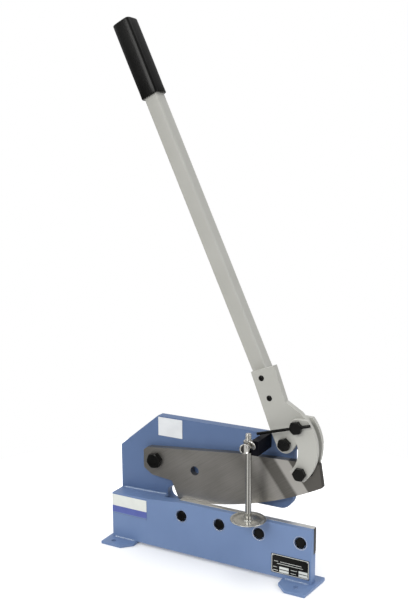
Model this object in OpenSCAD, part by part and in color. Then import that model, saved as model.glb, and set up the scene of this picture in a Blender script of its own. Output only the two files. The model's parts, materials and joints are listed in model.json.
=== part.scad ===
// Bench lever shear: welded plate frame, fixed lower blade, pivoted upper blade,
// hand lever with head plate, two crescent links, hold-down and lock rod.

/* [Base plate] */
// length of the front base plate
plate_length = 471; // [300:1:700]
// thickness of the front base plate
plate_thick = 22; // [12:0.5:40]
// height of the blade bed above the plate's lower edge
bed_height = 112.5; // [80:0.5:200]
// height of the ledge at its outer left end
ledge_low = 102; // [60:0.5:180]
// height of the ledge where it starts to climb
ledge_mid = 104.5; // [60:0.5:180]
// distance of that place from the left end
ledge_mid_x = 100; // [60:1:200]
// where the level blade bed begins, from the left end
bed_start_x = 180; // [120:1:300]
// depth of the rear rebate for the lower blade
rebate_depth = 10; // [5:0.5:20]
// length of the spacer block behind the plate
spacer_length = 122; // [80:1:200]

/* [Feet] */
// thickness of each foot plate
foot_thick = 6; // [4:0.5:12]
// reach of the right foot in front of the plate
foot_front = 42; // [30:1:80]
// reach of the left foot in front of the plate
left_foot_front = 34; // [26:1:80]
// reach of the right foot behind the plate's front face
foot_back = 43; // [30:1:80]
// reach of the left foot, which also carries the frame
left_foot_back = 60.2; // [43:0.1:90]
// outer end of the left foot, beyond the plate
left_foot_over = 8; // [0:1:30]
// inner end of the left foot
left_foot_inner = 63; // [50:1:100]
// reach of the right foot under the plate, from its right end
right_foot_under = 61; // [30:1:120]
// outer end of the right foot, beyond the plate
right_foot_over = 13; // [0:1:40]
// size of the cut corner, along the plate
foot_cut_x = 21; // [5:1:40]
// size of the cut corner, across the plate
foot_cut_y = 21; // [5:1:40]
// how far the outer corner is drawn in at the front
foot_draw = 10; // [0:1:25]
// radius of the bench bolt holes
foot_hole_r = 5.5; // [3:0.5:9]
// left bench hole, from the plate's left end
left_hole_x = 15.5; // [8:0.5:40]
// right bench hole, from the plate's right end
right_hole_inset = 23.5; // [8:0.5:50]
// distance of the bench holes in front of the plate
foot_hole_y = 19; // [12:0.5:40]
// leg of the weld beads
weld_leg = 3.5; // [2:0.5:8]

/* [C-frame] */
// thickness of the C-frame plate
frame_thick = 20; // [12:0.5:35]
// gap between the shear plane and the C-frame
frame_gap = 16; // [10:0.1:30]
// height of the frame's top edge above the lever pivot
arm_over_z = 10.9; // [5:0.1:20]
// height of the column's straight left edge
column_height = 201.4; // [120:0.1:300]
// length of the sloped top left corner
chamfer_x = 97.5; // [40:0.5:150]
// column width below the throat
column_width = 136; // [100:1:220]
// underside of the frame's upper arm
arm_under = 128.5; // [118:0.5:200]
// how far the throat reaches below the blade bed
throat_drop = 16.2; // [8:0.1:30]
// right edge of the upper arm, beyond the lever pivot
arm_over_x = 11.8; // [5:0.1:22]
// radius of the arm's lower right corner
arm_corner_r = 27; // [10:1:60]
// end of the arm's straight top edge, left of the lever pivot
arm_top_inset = 16.2; // [5:0.1:22]
// radius of the boss round the lever pivot
arm_boss_r = 23; // [16:0.5:40]

/* [Lower blade] */
// length of both blades' cutting edge
lower_blade_length = 305; // [200:1:400]
// thickness of the lower blade
lower_blade_thick = 12; // [8:0.5:20]
// height of the lower blade
lower_blade_height = 54; // [30:1:80]
// chamfer on the lower blade's rear bottom edge
lower_blade_chamfer = 3; // [1:0.5:6]
// first blade bolt, from the blade's left end
bolt_left_inset = 11.5; // [8:0.5:40]
// last blade bolt, from the blade's right end
bolt_right_inset = 23.5; // [8:0.5:40]
// depth of the blade bolts below the blade bed
bolt_drop = 30; // [15:0.5:50]
// radius of the blade bolt shanks
bolt_shank_r = 6; // [4:0.1:10]
// corner radius of the blade bolt heads
bolt_head_r = 10.9; // [7:0.1:16]
// height of the blade bolt heads
bolt_head_h = 6.6; // [4:0.1:12]
// radius of the counterbores in the plate
counterbore_r = 12.2; // [9:0.1:18]
// depth of the counterbores
counterbore_depth = 7; // [4:0.1:12]

/* [Upper blade] */
// thickness of the upper blade
blade_thick = 15; // [8:0.5:25]
// running gap at the shear plane
shear_gap = 0.1; // [0.05:0.05:0.3]
// blade pivot, from the plate's left end
pivot_x = 100.4; // [60:0.1:160]
// blade pivot height
pivot_z = 186.8; // [120:0.1:300]
// left edge of the blade
blade_left = 69.5; // [40:0.5:120]
// lower end of the blade's left edge
blade_left_low = 165; // [120:0.5:250]
// upper end of the blade's left edge
blade_left_high = 205; // [140:0.5:300]
// top left corner of the blade, along
blade_top_x = 79; // [50:0.5:150]
// top left corner of the blade, height
blade_top_z = 212; // [150:0.5:300]
// place on the blade's top edge where it bends, along
blade_bend_x = 299; // [200:1:450]
// place on the blade's top edge where it bends, height
blade_bend_z = 233.8; // [180:0.1:350]
// slant of the blade's right end, top corner left of the nose
blade_end_slant = 7.4; // [0:0.1:20]
// height of the blade's right end above the nose
blade_end_rise = 46.5; // [35:0.5:80]
// nose of the blade at the lower right, along
blade_nose_x = 481.4; // [300:0.1:650]
// nose of the blade at the lower right, height
blade_nose_z = 193.5; // [140:0.1:300]
// heel on the blade's lower left side, along
heel_x = 90.5; // [60:0.5:150]
// heel on the blade's lower left side, height
heel_z = 151.3; // [100:0.1:220]
// inner corner above the throat, along
inner_x = 140.3; // [100:0.1:200]
// inner corner above the throat, height
inner_z = 146.4; // [100:0.1:220]
// start of the cutting edge, along
edge_start_x = 158.8; // [120:0.1:260]
// radius of the curved cutting edge
edge_radius = 740; // [400:1:2000]
// centre of the cutting edge's curve, along
edge_centre_x = 130.6; // [50:0.1:300]
// height of the lowest point of the cutting edge's curve
edge_low_z = 105; // [80:0.5:160]
// radius of the handling hole
carry_hole_r = 10; // [5:0.5:14]
// handling hole, along
carry_hole_x = 196.7; // [150:0.1:350]
// handling hole, height
carry_hole_z = 178.3; // [130:0.1:260]
// half height of the link slot in the blade
link_slot_r = 8.4; // [6:0.1:12]
// travel of the link pin in the slot
link_slot_run = 14.2; // [8:0.1:24]
// height of the slot's centre above the link pin
link_slot_rise = 2; // [0:0.1:4]

/* [Lever] */
// lever pivot, left of the lower link bolt
lever_link_x = 37.1; // [25:0.1:55]
// lever pivot, above the lower link bolt
lever_link_z = 51.3; // [40:0.1:70]
// lean of the lever to the left at rest
lever_lean = 24.5; // [0:0.5:45]
// width and depth of the square lever tube
tube_size = 32; // [20:0.5:50]
// wall of the lever tube
tube_wall = 3; // [1.5:0.1:6]
// distance from the pivot to the tube's lower end
tube_start = 74; // [50:0.5:120]
// distance from the pivot to the tube's upper end
tube_end = 898; // [500:1:1300]
// distance from the pivot to the grip's lower end
grip_start = 751; // [400:1:1100]
// distance from the pivot to the grip's upper end
grip_end = 917; // [520:1:1320]
// outer width of the grip
grip_width = 45; // [30:0.5:60]
// outer depth of the grip
grip_depth = 43; // [28:0.5:60]
// thickness of the head plate
head_thick = 15; // [8:0.5:25]
// radius of the head plate round the lever pivot
head_pivot_r = 19; // [14:0.5:30]
// radius of the head plate round the upper link bolt
head_link_r = 21; // [14:0.5:30]
// top left corner of the head plate, along the lever
head_tl_s = 156; // [100:1:250]
// top left corner of the head plate, across the lever
head_tl_t = 11.4; // [5:0.1:40]
// top right corner of the head plate, along the lever
head_tr_s = 152; // [100:1:250]
// top right corner of the head plate, across the lever
head_tr_t = 41.6; // [20:0.1:70]
// right edge above the shoulder, along the lever
head_waist_s = 78; // [50:0.5:140]
// right edge above the shoulder, across the lever
head_waist_t = 35.5; // [20:0.1:70]
// shoulder beside the upper link bolt, along the lever
head_shoulder_s = 47; // [30:0.5:90]
// shoulder beside the upper link bolt, across the lever
head_shoulder_t = 56.5; // [30:0.1:90]
// left edge above the pivot, along the lever
head_left_s = 40; // [20:0.5:80]
// left edge above the pivot, across the lever
head_left_t = 18.5; // [10:0.1:40]
// first tube bolt, along the lever
tube_bolt_low = 95; // [70:0.5:150]
// second tube bolt, along the lever
tube_bolt_high = 137.5; // [90:0.5:220]
// tube bolts, across the lever
tube_bolt_t = 5.5; // [0:0.1:12]
// shank radius of the tube bolts
tube_bolt_r = 4; // [2.5:0.1:6]
// head radius of the tube bolts
tube_bolt_head_r = 6; // [4:0.1:10]
// head height of the tube bolts
tube_bolt_head_h = 2; // [1:0.1:6]

/* [Links] */
// upper link bolt, right of the lever pivot
upper_link_x = 28.9; // [15:0.1:50]
// upper link bolt, above the lever pivot
upper_link_z = 41.4; // [20:0.1:70]
// lower link bolt, left of the blade's nose
link_nose_inset = 42.1; // [30:0.1:70]
// lower link bolt, above the blade's nose
link_nose_rise = 25.3; // [18:0.1:40]
// thickness of each link plate
link_thick = 10; // [6:0.5:16]
// clearance between link plates and blade
link_gap = 0.5; // [0.2:0.1:2]
// end radius of the link plates
link_end_r = 16; // [12:0.5:24]
// outer radius of the crescent
crescent_r = 92.8; // [60:0.1:160]
// centre of the crescent's outer curve, left of the lever pivot
crescent_left = 20.6; // [10:0.1:40]
// centre of the crescent's outer curve, below the lever pivot
crescent_below = 1.9; // [0:0.1:20]
// inner radius of the crescent
crescent_inner_r = 56.2; // [30:0.1:120]
// centre of the crescent's inner curve, left of the lever pivot
crescent_inner_left = 24.4; // [10:0.1:40]
// centre of the crescent's inner curve, below the lever pivot
crescent_inner_below = 9.9; // [0:0.1:20]

/* [Fasteners] */
// shank radius of the blade pivot bolt
pivot_shank_r = 10; // [6:0.1:16]
// corner radius of the blade pivot bolt's head
pivot_head_r = 17.3; // [10:0.1:26]
// height of the blade pivot bolt's head
pivot_head_h = 12.5; // [7:0.1:20]
// shank radius of the lever and upper link bolts
link_shank_r = 8; // [5:0.1:12]
// shank radius of the lower link bolt
lower_shank_r = 6; // [4:0.1:10]
// corner radius of the link and lever bolt heads
link_head_r = 13.8; // [9:0.1:20]
// height of the link and lever bolt heads
link_head_h = 10; // [6:0.1:15]
// height of the nuts
nut_height = 12; // [6:0.1:20]
// wall of the bronze bushes
bush_wall = 2.5; // [1.5:0.1:5]
// thread standing out of each nut
thread_out = 3; // [1:0.1:8]

/* [Hold-down] */
// hold-down rod, left of the lever pivot
hold_inset = 60.2; // [60:0.1:160]
// hold-down rod, in front of the plate
hold_y = 16; // [12:0.5:60]
// radius of the hold-down rod
hold_rod_r = 6.2; // [3:0.1:8]
// top of the hold-down rod, above the bracket
hold_over = 10.4; // [5:0.1:120]
// radius of the hold-down foot disc
disc_r = 36.6; // [20:0.1:60]
// thickness of the disc
disc_thick = 2.5; // [1.5:0.1:6]
// height of the disc's raised rim
disc_rise = 3; // [0:0.1:8]
// gap between the clamp collar and the bracket block
bracket_gap = 0.2; // [0.1:0.1:2]
// width of the bracket block
bracket_width = 14.4; // [12:0.1:40]
// lower side of the bracket block, below the arm's top edge
bracket_drop = 27; // [20:0.5:40]
// upper side of the bracket block, above the arm's top edge
bracket_over = 2.6; // [0:0.1:10]
// reach of the bracket in front of the plate
bracket_front = 24; // [10:0.5:60]
// radius of the bracket's two screws
bracket_screw_r = 4; // [2.5:0.1:6]
// depth of the screws in the bracket
screw_depth = 14; // [8:0.5:30]
// radius of the chrome clamp collar
collar_r = 10; // [7:0.1:14]
// length of the clamp collar
collar_height = 12; // [8:0.5:30]
// lower end of the clamp collar, above the bracket's lower side
collar_rise = 14; // [0:0.5:20]
// radius of the collar's stud
stud_r = 5; // [3:0.1:8]
// radius of the wing screw's shank
wing_shank_r = 3; // [2:0.1:5]
// radius of the wing screw's hub
wing_hub_r = 5; // [4:0.1:10]
// length of the wing screw's hub
wing_hub_h = 13; // [5:0.5:20]
// radius of each ear
wing_ear_r = 10.5; // [5:0.5:15]
// thickness of each ear
wing_ear_thick = 4; // [2:0.1:8]
// distance of each ear's centre from the screw axis
wing_ear_reach = 8.5; // [8:0.5:20]
// tilt of the ears at rest
wing_tilt = 30; // [0:1:90]
// turn of the wing screw's axis from straight ahead to the right
wing_swing = 25; // [0:1:40]

/* [Lock rod] */
// radius of the lock rod
lock_rod_r = 3; // [2:0.1:5]
// slope of the lock rod at rest
lock_slope = 16; // [0:0.5:30]
// reach of the lock rod left of the bolt
lock_left = 86; // [50:1:120]
// reach of the lock rod right of the bolt
lock_right = 31; // [20:1:60]

/* [Plates and labels] */
// thickness of the bare plates
label_thick = 0.8; // [0.3:0.1:2]
// inset of the rating plate from the base plate's right end
rating_inset = 4; // [1:0.5:20]
// lower edge of the rating plate
rating_z = 9; // [5:0.5:60]
// width of the rating plate
rating_width = 81; // [40:1:120]
// height of the rating plate
rating_height = 40; // [20:1:60]
// width of the left panel
panel_width = 90; // [50:1:120]
// height of the left panel
panel_height = 45; // [25:1:80]
// lower edge of the left panel
panel_z = 54.5; // [30:0.5:90]
// inset of the left panel from the plate's end
panel_inset = 0.5; // [0:0.5:10]
// inset of the arm panel from the sloped corner
arm_panel_inset = 1; // [0:0.5:60]
// width of the arm panel
arm_panel_width = 60; // [30:1:90]
// height of the arm panel
arm_panel_height = 41; // [25:1:70]
// gap between the arm panel and the arm's top edge
arm_panel_drop = 2.5; // [1:0.5:30]
// radius of the rating plate's rivets
rivet_r = 1.2; // [0.8:0.1:3]
// height of the rivet heads above the plate
rivet_head_h = 0.7; // [0.3:0.1:2]
// inset of the rivets from the plate's edges
rivet_inset = 3; // [2:0.5:8]

/* [Hidden] */
$fn = 96;
// running fit of pins and shanks, radial
fit = 0.05;
// small gap between neighbours on one body
seat = 0.02;
// overrun of every cut
overrun = 0.2;
lower_link_x = blade_nose_x - link_nose_inset;
lower_link_z = blade_nose_z + link_nose_rise;
lever_x = lower_link_x - lever_link_x;
lever_z = lower_link_z + lever_link_z;
crescent_x = lever_x - crescent_left;
crescent_z = lever_z - crescent_below;
crescent_inner_x = lever_x - crescent_inner_left;
crescent_inner_z = lever_z - crescent_inner_below;
blade_end_x = blade_nose_x - blade_end_slant;
blade_end_z = blade_nose_z + blade_end_rise;
edge_centre_z = edge_low_z + edge_radius;
arm_end = lever_x + arm_over_x;
arm_top_end = lever_x - arm_top_inset;
frame_height = lever_z + arm_over_z;
hold_x = lever_x - hold_inset;
bracket_left = hold_x + collar_r + bracket_gap;
bracket_right = bracket_left + bracket_width;
bracket_low = frame_height - bracket_drop;
bracket_high = frame_height + bracket_over;
collar_low = bracket_low + collar_rise;
hold_top = bracket_high + hold_over;
shear_y = plate_thick - rebate_depth + lower_blade_thick;
blade_y = shear_y + shear_gap;
blade_back = blade_y + blade_thick;
frame_y = shear_y + frame_gap;
frame_back = frame_y + frame_thick;
washer_thick = frame_y - blade_back;
link_front_y = blade_y - link_gap - link_thick;
link_rear_y = blade_back + link_gap;
tube_y = blade_back;
tube_mid_y = tube_y + tube_size / 2;
blade_bed_x = plate_length - lower_blade_length;
bolt_count = 4;
bolt_first_x = blade_bed_x + bolt_left_inset;
bolt_pitch = (lower_blade_length - bolt_left_inset - bolt_right_inset) / (bolt_count - 1);
bolt_height = bed_height - bolt_drop;
right_foot_inner = plate_length - right_foot_under;
right_foot_outer = plate_length + right_foot_over;
right_hole_x = plate_length - right_hole_inset;
rating_x = plate_length - rating_inset - rating_width;
arm_panel_x = chamfer_x + arm_panel_inset;
arm_panel_z = frame_height - arm_panel_drop - arm_panel_height;
blade_bed_z = bed_height - lower_blade_height;
upper_x = lever_x + upper_link_x;
upper_z = lever_z + upper_link_z;
link_s = upper_link_z * cos(lever_lean) - upper_link_x * sin(lever_lean);
link_t = upper_link_x * cos(lever_lean) + upper_link_z * sin(lever_lean);
inside_share = 0.96;
link_d = norm([upper_link_x, upper_link_z]);
near_r = head_pivot_r * inside_share;
foot_mid_x = (left_hole_x + right_hole_x) / 2;
hex_sides = 6;
bolt_turn = 17;
pivot_turn = 12;
lever_bolt_turn = 20;
nut_turn = 30;
flats_share = 0.866;
washer_share = 1.12;
chamfer_share = 0.14;
turned_share = 1.03;
rivet_head_share = 1.6;
thin_nut_share = 0.6;
nut_corner_share = 1.9;
thread_share = 0.8;
screw_step_share = 1.4;
screw_head_share = 1.3;
screw_corner_share = 1.35;
cross_hole_share = 3;
edge_sides = 1440;
rod_y = link_front_y - link_head_h / 2;
throat_r = (arm_under - bed_height + throat_drop) / 2;
blade_hole_r = pivot_shank_r + bush_wall;
bracket_mid = (bracket_left + bracket_right) / 2;
screw_z = (bracket_low + frame_height) / 2;
screw_step = bracket_screw_r * screw_step_share;
rim_share = 0.72;
wing_start = collar_r + fit;
stud_z = collar_low + collar_height / 2;
disc_z = bed_height + fit;
rivet_rows = [0, 1];

// moves the part so that its origin is midway between the two bench holes
module put() { translate([-foot_mid_x, foot_hole_y, foot_thick]) children(); }
// a cylinder along the depth, from y0 to y1
module bar_y(x, z, y0, y1, r) {
  translate([x, y0, z]) rotate([-90, 0, 0]) cylinder(h = y1 - y0, r = r);
}
// a hexagon prism along the depth
module hex_y(x, z, y0, y1, r, turn) {
  translate([x, y0, z]) rotate([-90, 0, 0]) rotate([0, 0, turn])
    cylinder(h = y1 - y0, r = r, $fn = hex_sides);
}
// a plate in the front plane, from y0 to y1
module slab(pts, y0, y1) {
  translate([0, y1, 0]) rotate([90, 0, 0]) linear_extrude(height = y1 - y0) polygon(pts);
}
module block(x0, x1, y0, y1, z0, z1) {
  translate([x0, y0, z0]) cube([x1 - x0, y1 - y0, z1 - z0]);
}
// frame of the lever: first value along it, second across it to the right
module on_lever() { translate([lever_x, 0, lever_z]) rotate([0, -lever_lean, 0]) children(); }
function lv(s, t) = [lever_x - s * sin(lever_lean) + t * cos(lever_lean),
                     lever_z + s * cos(lever_lean) + t * sin(lever_lean)];

function ledge_at(x) = ledge_mid + (x - ledge_mid_x) * (bed_height - ledge_mid)
  / (bed_start_x - ledge_mid_x);
ledge_weld_z = ledge_low + (ledge_mid - ledge_low) * weld_leg / ledge_mid_x;

module base_plate() color([0.42, 0.52, 0.68]) put() difference() {
  slab([[0, 0], [plate_length, 0], [plate_length, bed_height], [bed_start_x, bed_height],
        [ledge_mid_x, ledge_mid], [0, ledge_low]], 0, plate_thick);
  blade_pocket(plate_thick + overrun);
  for (i = [0 : bolt_count - 1]) {
    bar_y(bolt_first_x + i * bolt_pitch, bolt_height, -overrun, plate_thick, bolt_shank_r + fit);
    bar_y(bolt_first_x + i * bolt_pitch, bolt_height, -overrun, counterbore_depth, counterbore_r);
  }
}

// the blade's rebate, which also runs into the spacer block if the blade is long
module blade_pocket(y1)
  block(blade_bed_x - seat, plate_length + overrun, plate_thick - rebate_depth, y1,
        blade_bed_z - seat, bed_height + overrun);

module spacer_block() color([0.42, 0.52, 0.68]) put() difference() {
  slab([[0, 0], [spacer_length, 0], [spacer_length, ledge_at(spacer_length)],
        [ledge_mid_x, ledge_mid], [0, ledge_low]], plate_thick, frame_y);
  blade_pocket(shear_y + fit);
}

module c_frame() color([0.38, 0.48, 0.65]) put() difference() {
  union() {
    slab([[0, 0], [column_width, 0], [column_width, arm_under - 2 * throat_r],
          [column_width, arm_under], [arm_end - arm_corner_r, arm_under],
          [arm_end - arm_corner_r, arm_under + arm_corner_r], [arm_end, arm_under + arm_corner_r],
          [arm_end, lever_z], [arm_top_end, lever_z], [arm_top_end, frame_height],
          [chamfer_x, frame_height], [0, column_height]], frame_y, frame_back);
    bar_y(lever_x, lever_z, frame_y, frame_back, arm_boss_r);
    bar_y(arm_end - arm_corner_r, arm_under + arm_corner_r, frame_y, frame_back, arm_corner_r);
  }
  bar_y(column_width, arm_under - throat_r, frame_y - overrun, frame_back + overrun, throat_r);
  bar_y(pivot_x, pivot_z, frame_y - overrun, frame_back + overrun, pivot_shank_r + fit);
  bar_y(lever_x, lever_z, frame_y - overrun, frame_back + overrun, link_shank_r + fit);
  for (k = [-1, 1])
    bar_y(bracket_mid, screw_z + k * screw_step,
          frame_y - overrun, frame_back + overrun, bracket_screw_r + fit);
}

module foot(x0, x1, front, back, cut_right, draw_right) difference() {
  translate([0, 0, -foot_thick]) linear_extrude(height = foot_thick)
    polygon(cut_right
      ? [[x0, -front], [x1 - foot_cut_x, -front], [x1, -front + foot_cut_y],
         [x1, back], [x0, back]]
      : [[x0, -front + foot_cut_y], [x0 + foot_cut_x, -front],
         [x1 - draw_right, -front], [x1, back - foot_cut_y / 2], [x1, back], [x0, back]]);
  translate([cut_right ? left_hole_x : right_hole_x, -foot_hole_y, -foot_thick - overrun])
    cylinder(h = foot_thick + 2 * overrun, r = foot_hole_r);
}
module left_foot() color([0.42, 0.52, 0.68]) put()
  foot(-left_foot_over, left_foot_inner, left_foot_front, left_foot_back, true, 0);
module right_foot() color([0.42, 0.52, 0.68]) put()
  foot(right_foot_inner, right_foot_outer, foot_front, foot_back, false, foot_draw);

module ledge_weld() color([0.45, 0.55, 0.72]) put()
  slab([[weld_leg, ledge_weld_z], [ledge_mid_x, ledge_mid],
        [spacer_length - weld_leg, ledge_at(spacer_length - weld_leg)],
        [spacer_length - weld_leg, ledge_at(spacer_length - weld_leg) + weld_leg],
        [ledge_mid_x, ledge_mid + weld_leg],
        [weld_leg, ledge_weld_z + weld_leg]],
       frame_y - weld_leg, frame_y);

// one bead at each foot, on the foot plate and against the base plate
module bead(x0, x1) translate([x0, 0, 0]) rotate([90, 0, 90])
  linear_extrude(height = x1 - x0) polygon([[0, 0], [-weld_leg, 0], [0, weld_leg]]);
module foot_welds() color([0.45, 0.55, 0.72]) put() {
  bead(weld_leg, left_foot_inner - weld_leg);
  bead(right_foot_inner + weld_leg, plate_length - weld_leg);
}

module lower_blade() color([0.6, 0.59, 0.56]) put() difference() {
  block(blade_bed_x, plate_length, plate_thick - rebate_depth + seat, shear_y, blade_bed_z, bed_height);
  for (i = [0 : bolt_count - 1])
    bar_y(bolt_first_x + i * bolt_pitch, bolt_height, plate_thick - rebate_depth - overrun,
          shear_y - lower_blade_chamfer, bolt_shank_r + fit);
  translate([blade_bed_x - overrun, shear_y, blade_bed_z]) rotate([45, 0, 0])
    cube([lower_blade_length + 2 * overrun, lower_blade_chamfer, lower_blade_chamfer], center = false);
}

// hexagon head with a turned chamfer, and its shank
module hex_bolt(x, z, y_seat, y_end, head_h, head_r, shank_r, turn) {
  turned_r = head_r * turned_share;
  intersection() {
    hex_y(x, z, y_seat - head_h, y_seat, head_r, turn);
    translate([x, y_seat - head_h, z]) rotate([-90, 0, 0]) rotate_extrude()
      polygon([[0, 0], [head_r * flats_share, 0], [turned_r, head_h * chamfer_share],
               [turned_r, head_h + overrun], [0, head_h + overrun]]);
  }
  bar_y(x, z, y_seat - head_h / 2, y_end, shank_r);
}
module hex_nut(x, z, y0, r, hole_r, turn) difference() {
  hex_y(x, z, y0, y0 + nut_height, r, turn);
  bar_y(x, z, y0 - overrun, y0 + nut_height + overrun, hole_r);
}
module washer(x, z, y0, y1, r, hole_r) difference() {
  bar_y(x, z, y0, y1, r);
  bar_y(x, z, y0 - overrun, y1 + overrun, hole_r);
}

module lower_blade_bolts() color([0.1, 0.1, 0.1]) put() for (i = [0 : bolt_count - 1])
  hex_bolt(bolt_first_x + i * bolt_pitch, bolt_height, counterbore_depth - seat,
           shear_y - lower_blade_chamfer - overrun, bolt_head_h, bolt_head_r, bolt_shank_r, i * bolt_turn);

module upper_blade() color([0.45, 0.44, 0.42]) put() difference() {
  intersection() {
    slab([[blade_left, blade_left_low], [heel_x, heel_z], [inner_x, inner_z],
          [edge_start_x, edge_centre_z - edge_radius], [blade_nose_x, edge_centre_z - edge_radius],
          [blade_nose_x, blade_nose_z], [blade_end_x, blade_end_z],
          [blade_bend_x, blade_bend_z], [blade_top_x, blade_top_z], [blade_left, blade_left_high]],
         blade_y, blade_back);
    translate([edge_centre_x, blade_y - overrun, edge_centre_z]) rotate([-90, 0, 0])
      cylinder(h = blade_thick + 2 * overrun, r = edge_radius, $fn = edge_sides);
  }
  bar_y(pivot_x, pivot_z, blade_y - overrun, blade_back + overrun, blade_hole_r);
  bar_y(carry_hole_x, carry_hole_z, blade_y - overrun, blade_back + overrun, carry_hole_r);
  for (k = [0, 1])
    bar_y(lower_link_x + k * link_slot_run, lower_link_z + link_slot_rise, blade_y - overrun,
          blade_back + overrun, link_slot_r);
  block(lower_link_x, lower_link_x + link_slot_run, blade_y - overrun, blade_back + overrun,
        lower_link_z + link_slot_rise - link_slot_r, lower_link_z + link_slot_rise + link_slot_r);
}
module bush(x, z, y0, y1, r_in) difference() {
  bar_y(x, z, y0, y1, r_in + fit + bush_wall - seat - fit);
  bar_y(x, z, y0 - overrun, y1 + overrun, r_in + fit);
}
module blade_bush() color([0.75, 0.6, 0.35]) put()
  bush(pivot_x, pivot_z, blade_y, blade_back, pivot_shank_r);
module blade_pivot_bolt() color([0.1, 0.1, 0.1]) put()
  hex_bolt(pivot_x, pivot_z, blade_y - fit, frame_back + washer_thick + nut_height + thread_out,
           pivot_head_h, pivot_head_r, pivot_shank_r, pivot_turn);
module blade_pivot_washer() color([0.7, 0.7, 0.7]) put() {
  washer(pivot_x, pivot_z, blade_back + fit, frame_y, pivot_head_r * washer_share,
         pivot_shank_r + fit);
  washer(pivot_x, pivot_z, frame_back, frame_back + washer_thick, pivot_head_r * washer_share,
         pivot_shank_r + fit);
}
module blade_pivot_nut() color([0.1, 0.1, 0.1]) put()
  hex_nut(pivot_x, pivot_z, frame_back + washer_thick, pivot_head_r, pivot_shank_r + fit, pivot_turn);

// a cylinder along the depth, at a place on the lever
module lever_bar(s, t, y0, y1, r) bar_y(lv(s, t)[0], lv(s, t)[1], y0, y1, r);

module lever_head() color([0.7, 0.7, 0.68]) put() difference() {
  union() {
    slab([lv(head_tl_s, -head_tl_t), lv(head_left_s, -head_left_t), lv(0, -near_r),
          lv(-near_r * link_t / link_d, near_r * link_s / link_d),
          lv(link_s - near_r * link_t / link_d, link_t + near_r * link_s / link_d),
          lv(link_s, link_t + head_link_r * inside_share), lv(head_shoulder_s, head_shoulder_t),
          lv(head_waist_s, head_waist_t), lv(head_tr_s, head_tr_t)], blade_y, blade_y + head_thick);
    bar_y(lever_x, lever_z, blade_y, blade_y + head_thick, head_pivot_r);
    bar_y(upper_x, upper_z, blade_y, blade_y + head_thick, head_link_r);
  }
  bar_y(lever_x, lever_z, blade_y - overrun, blade_back + overrun, link_shank_r + bush_wall);
  bar_y(upper_x, upper_z, blade_y - overrun, blade_back + overrun, link_shank_r + fit);
  for (s = [tube_bolt_low, tube_bolt_high])
    lever_bar(s, tube_bolt_t, blade_y - overrun, blade_back + overrun, tube_bolt_r + fit);
}
module lever_bush() color([0.75, 0.6, 0.35]) put()
  bush(lever_x, lever_z, blade_y, blade_back, link_shank_r);
module lever_pivot_bolt() color([0.1, 0.1, 0.1]) put()
  hex_bolt(lever_x, lever_z, blade_y - fit, frame_back + washer_thick + nut_height + thread_out,
           link_head_h, link_head_r, link_shank_r, lever_bolt_turn);
module lever_pivot_washers() color([0.7, 0.7, 0.7]) put() {
  washer(lever_x, lever_z, blade_back + fit, frame_y, link_head_r * washer_share,
         link_shank_r + fit);
  washer(lever_x, lever_z, frame_back, frame_back + washer_thick, link_head_r * washer_share,
         link_shank_r + fit);
}
module lever_pivot_nut() color([0.1, 0.1, 0.1]) put()
  hex_nut(lever_x, lever_z, frame_back + washer_thick, link_head_r, link_shank_r + fit,
          lever_bolt_turn);

module lever_tube() color([0.74, 0.74, 0.72]) put() difference() {
  on_lever() translate([-tube_size / 2, tube_y, tube_start])
    cube([tube_size, tube_size, tube_end - tube_start]);
  on_lever() translate([-tube_size / 2 + tube_wall, tube_y + tube_wall, tube_start - overrun])
    cube([tube_size - 2 * tube_wall, tube_size - 2 * tube_wall, tube_end - tube_start - tube_wall]);
  for (s = [tube_bolt_low, tube_bolt_high])
    lever_bar(s, tube_bolt_t, tube_y - overrun, tube_y + tube_size + overrun, tube_bolt_r + fit);
}
module tube_bolts() color([0.1, 0.1, 0.1]) put() for (s = [tube_bolt_low, tube_bolt_high]) {
  lever_bar(s, tube_bolt_t, blade_y - tube_bolt_head_h, blade_y, tube_bolt_head_r);
  lever_bar(s, tube_bolt_t, blade_y, 
        tube_y + tube_size + nut_height * thread_share, tube_bolt_r);
}
module tube_nuts() color([0.1, 0.1, 0.1]) put() for (s = [tube_bolt_low, tube_bolt_high])
  difference() {
    hex_y(lv(s, tube_bolt_t)[0], lv(s, tube_bolt_t)[1], tube_y + tube_size,
          tube_y + tube_size + nut_height * thin_nut_share, tube_bolt_r * nut_corner_share, nut_turn);
    lever_bar(s, tube_bolt_t, tube_y + tube_size - overrun,
          tube_y + tube_size + nut_height, tube_bolt_r + fit);
  }
module grip() color([0.08, 0.08, 0.08]) put() difference() {
  on_lever() translate([-grip_width / 2, tube_mid_y - grip_depth / 2, grip_start])
    cube([grip_width, grip_depth, grip_end - grip_start]);
  on_lever() translate([-tube_size / 2 - seat, tube_y - seat, grip_start - overrun])
    cube([tube_size + 2 * seat, tube_size + 2 * seat, tube_end - grip_start + overrun + seat]);
}

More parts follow.
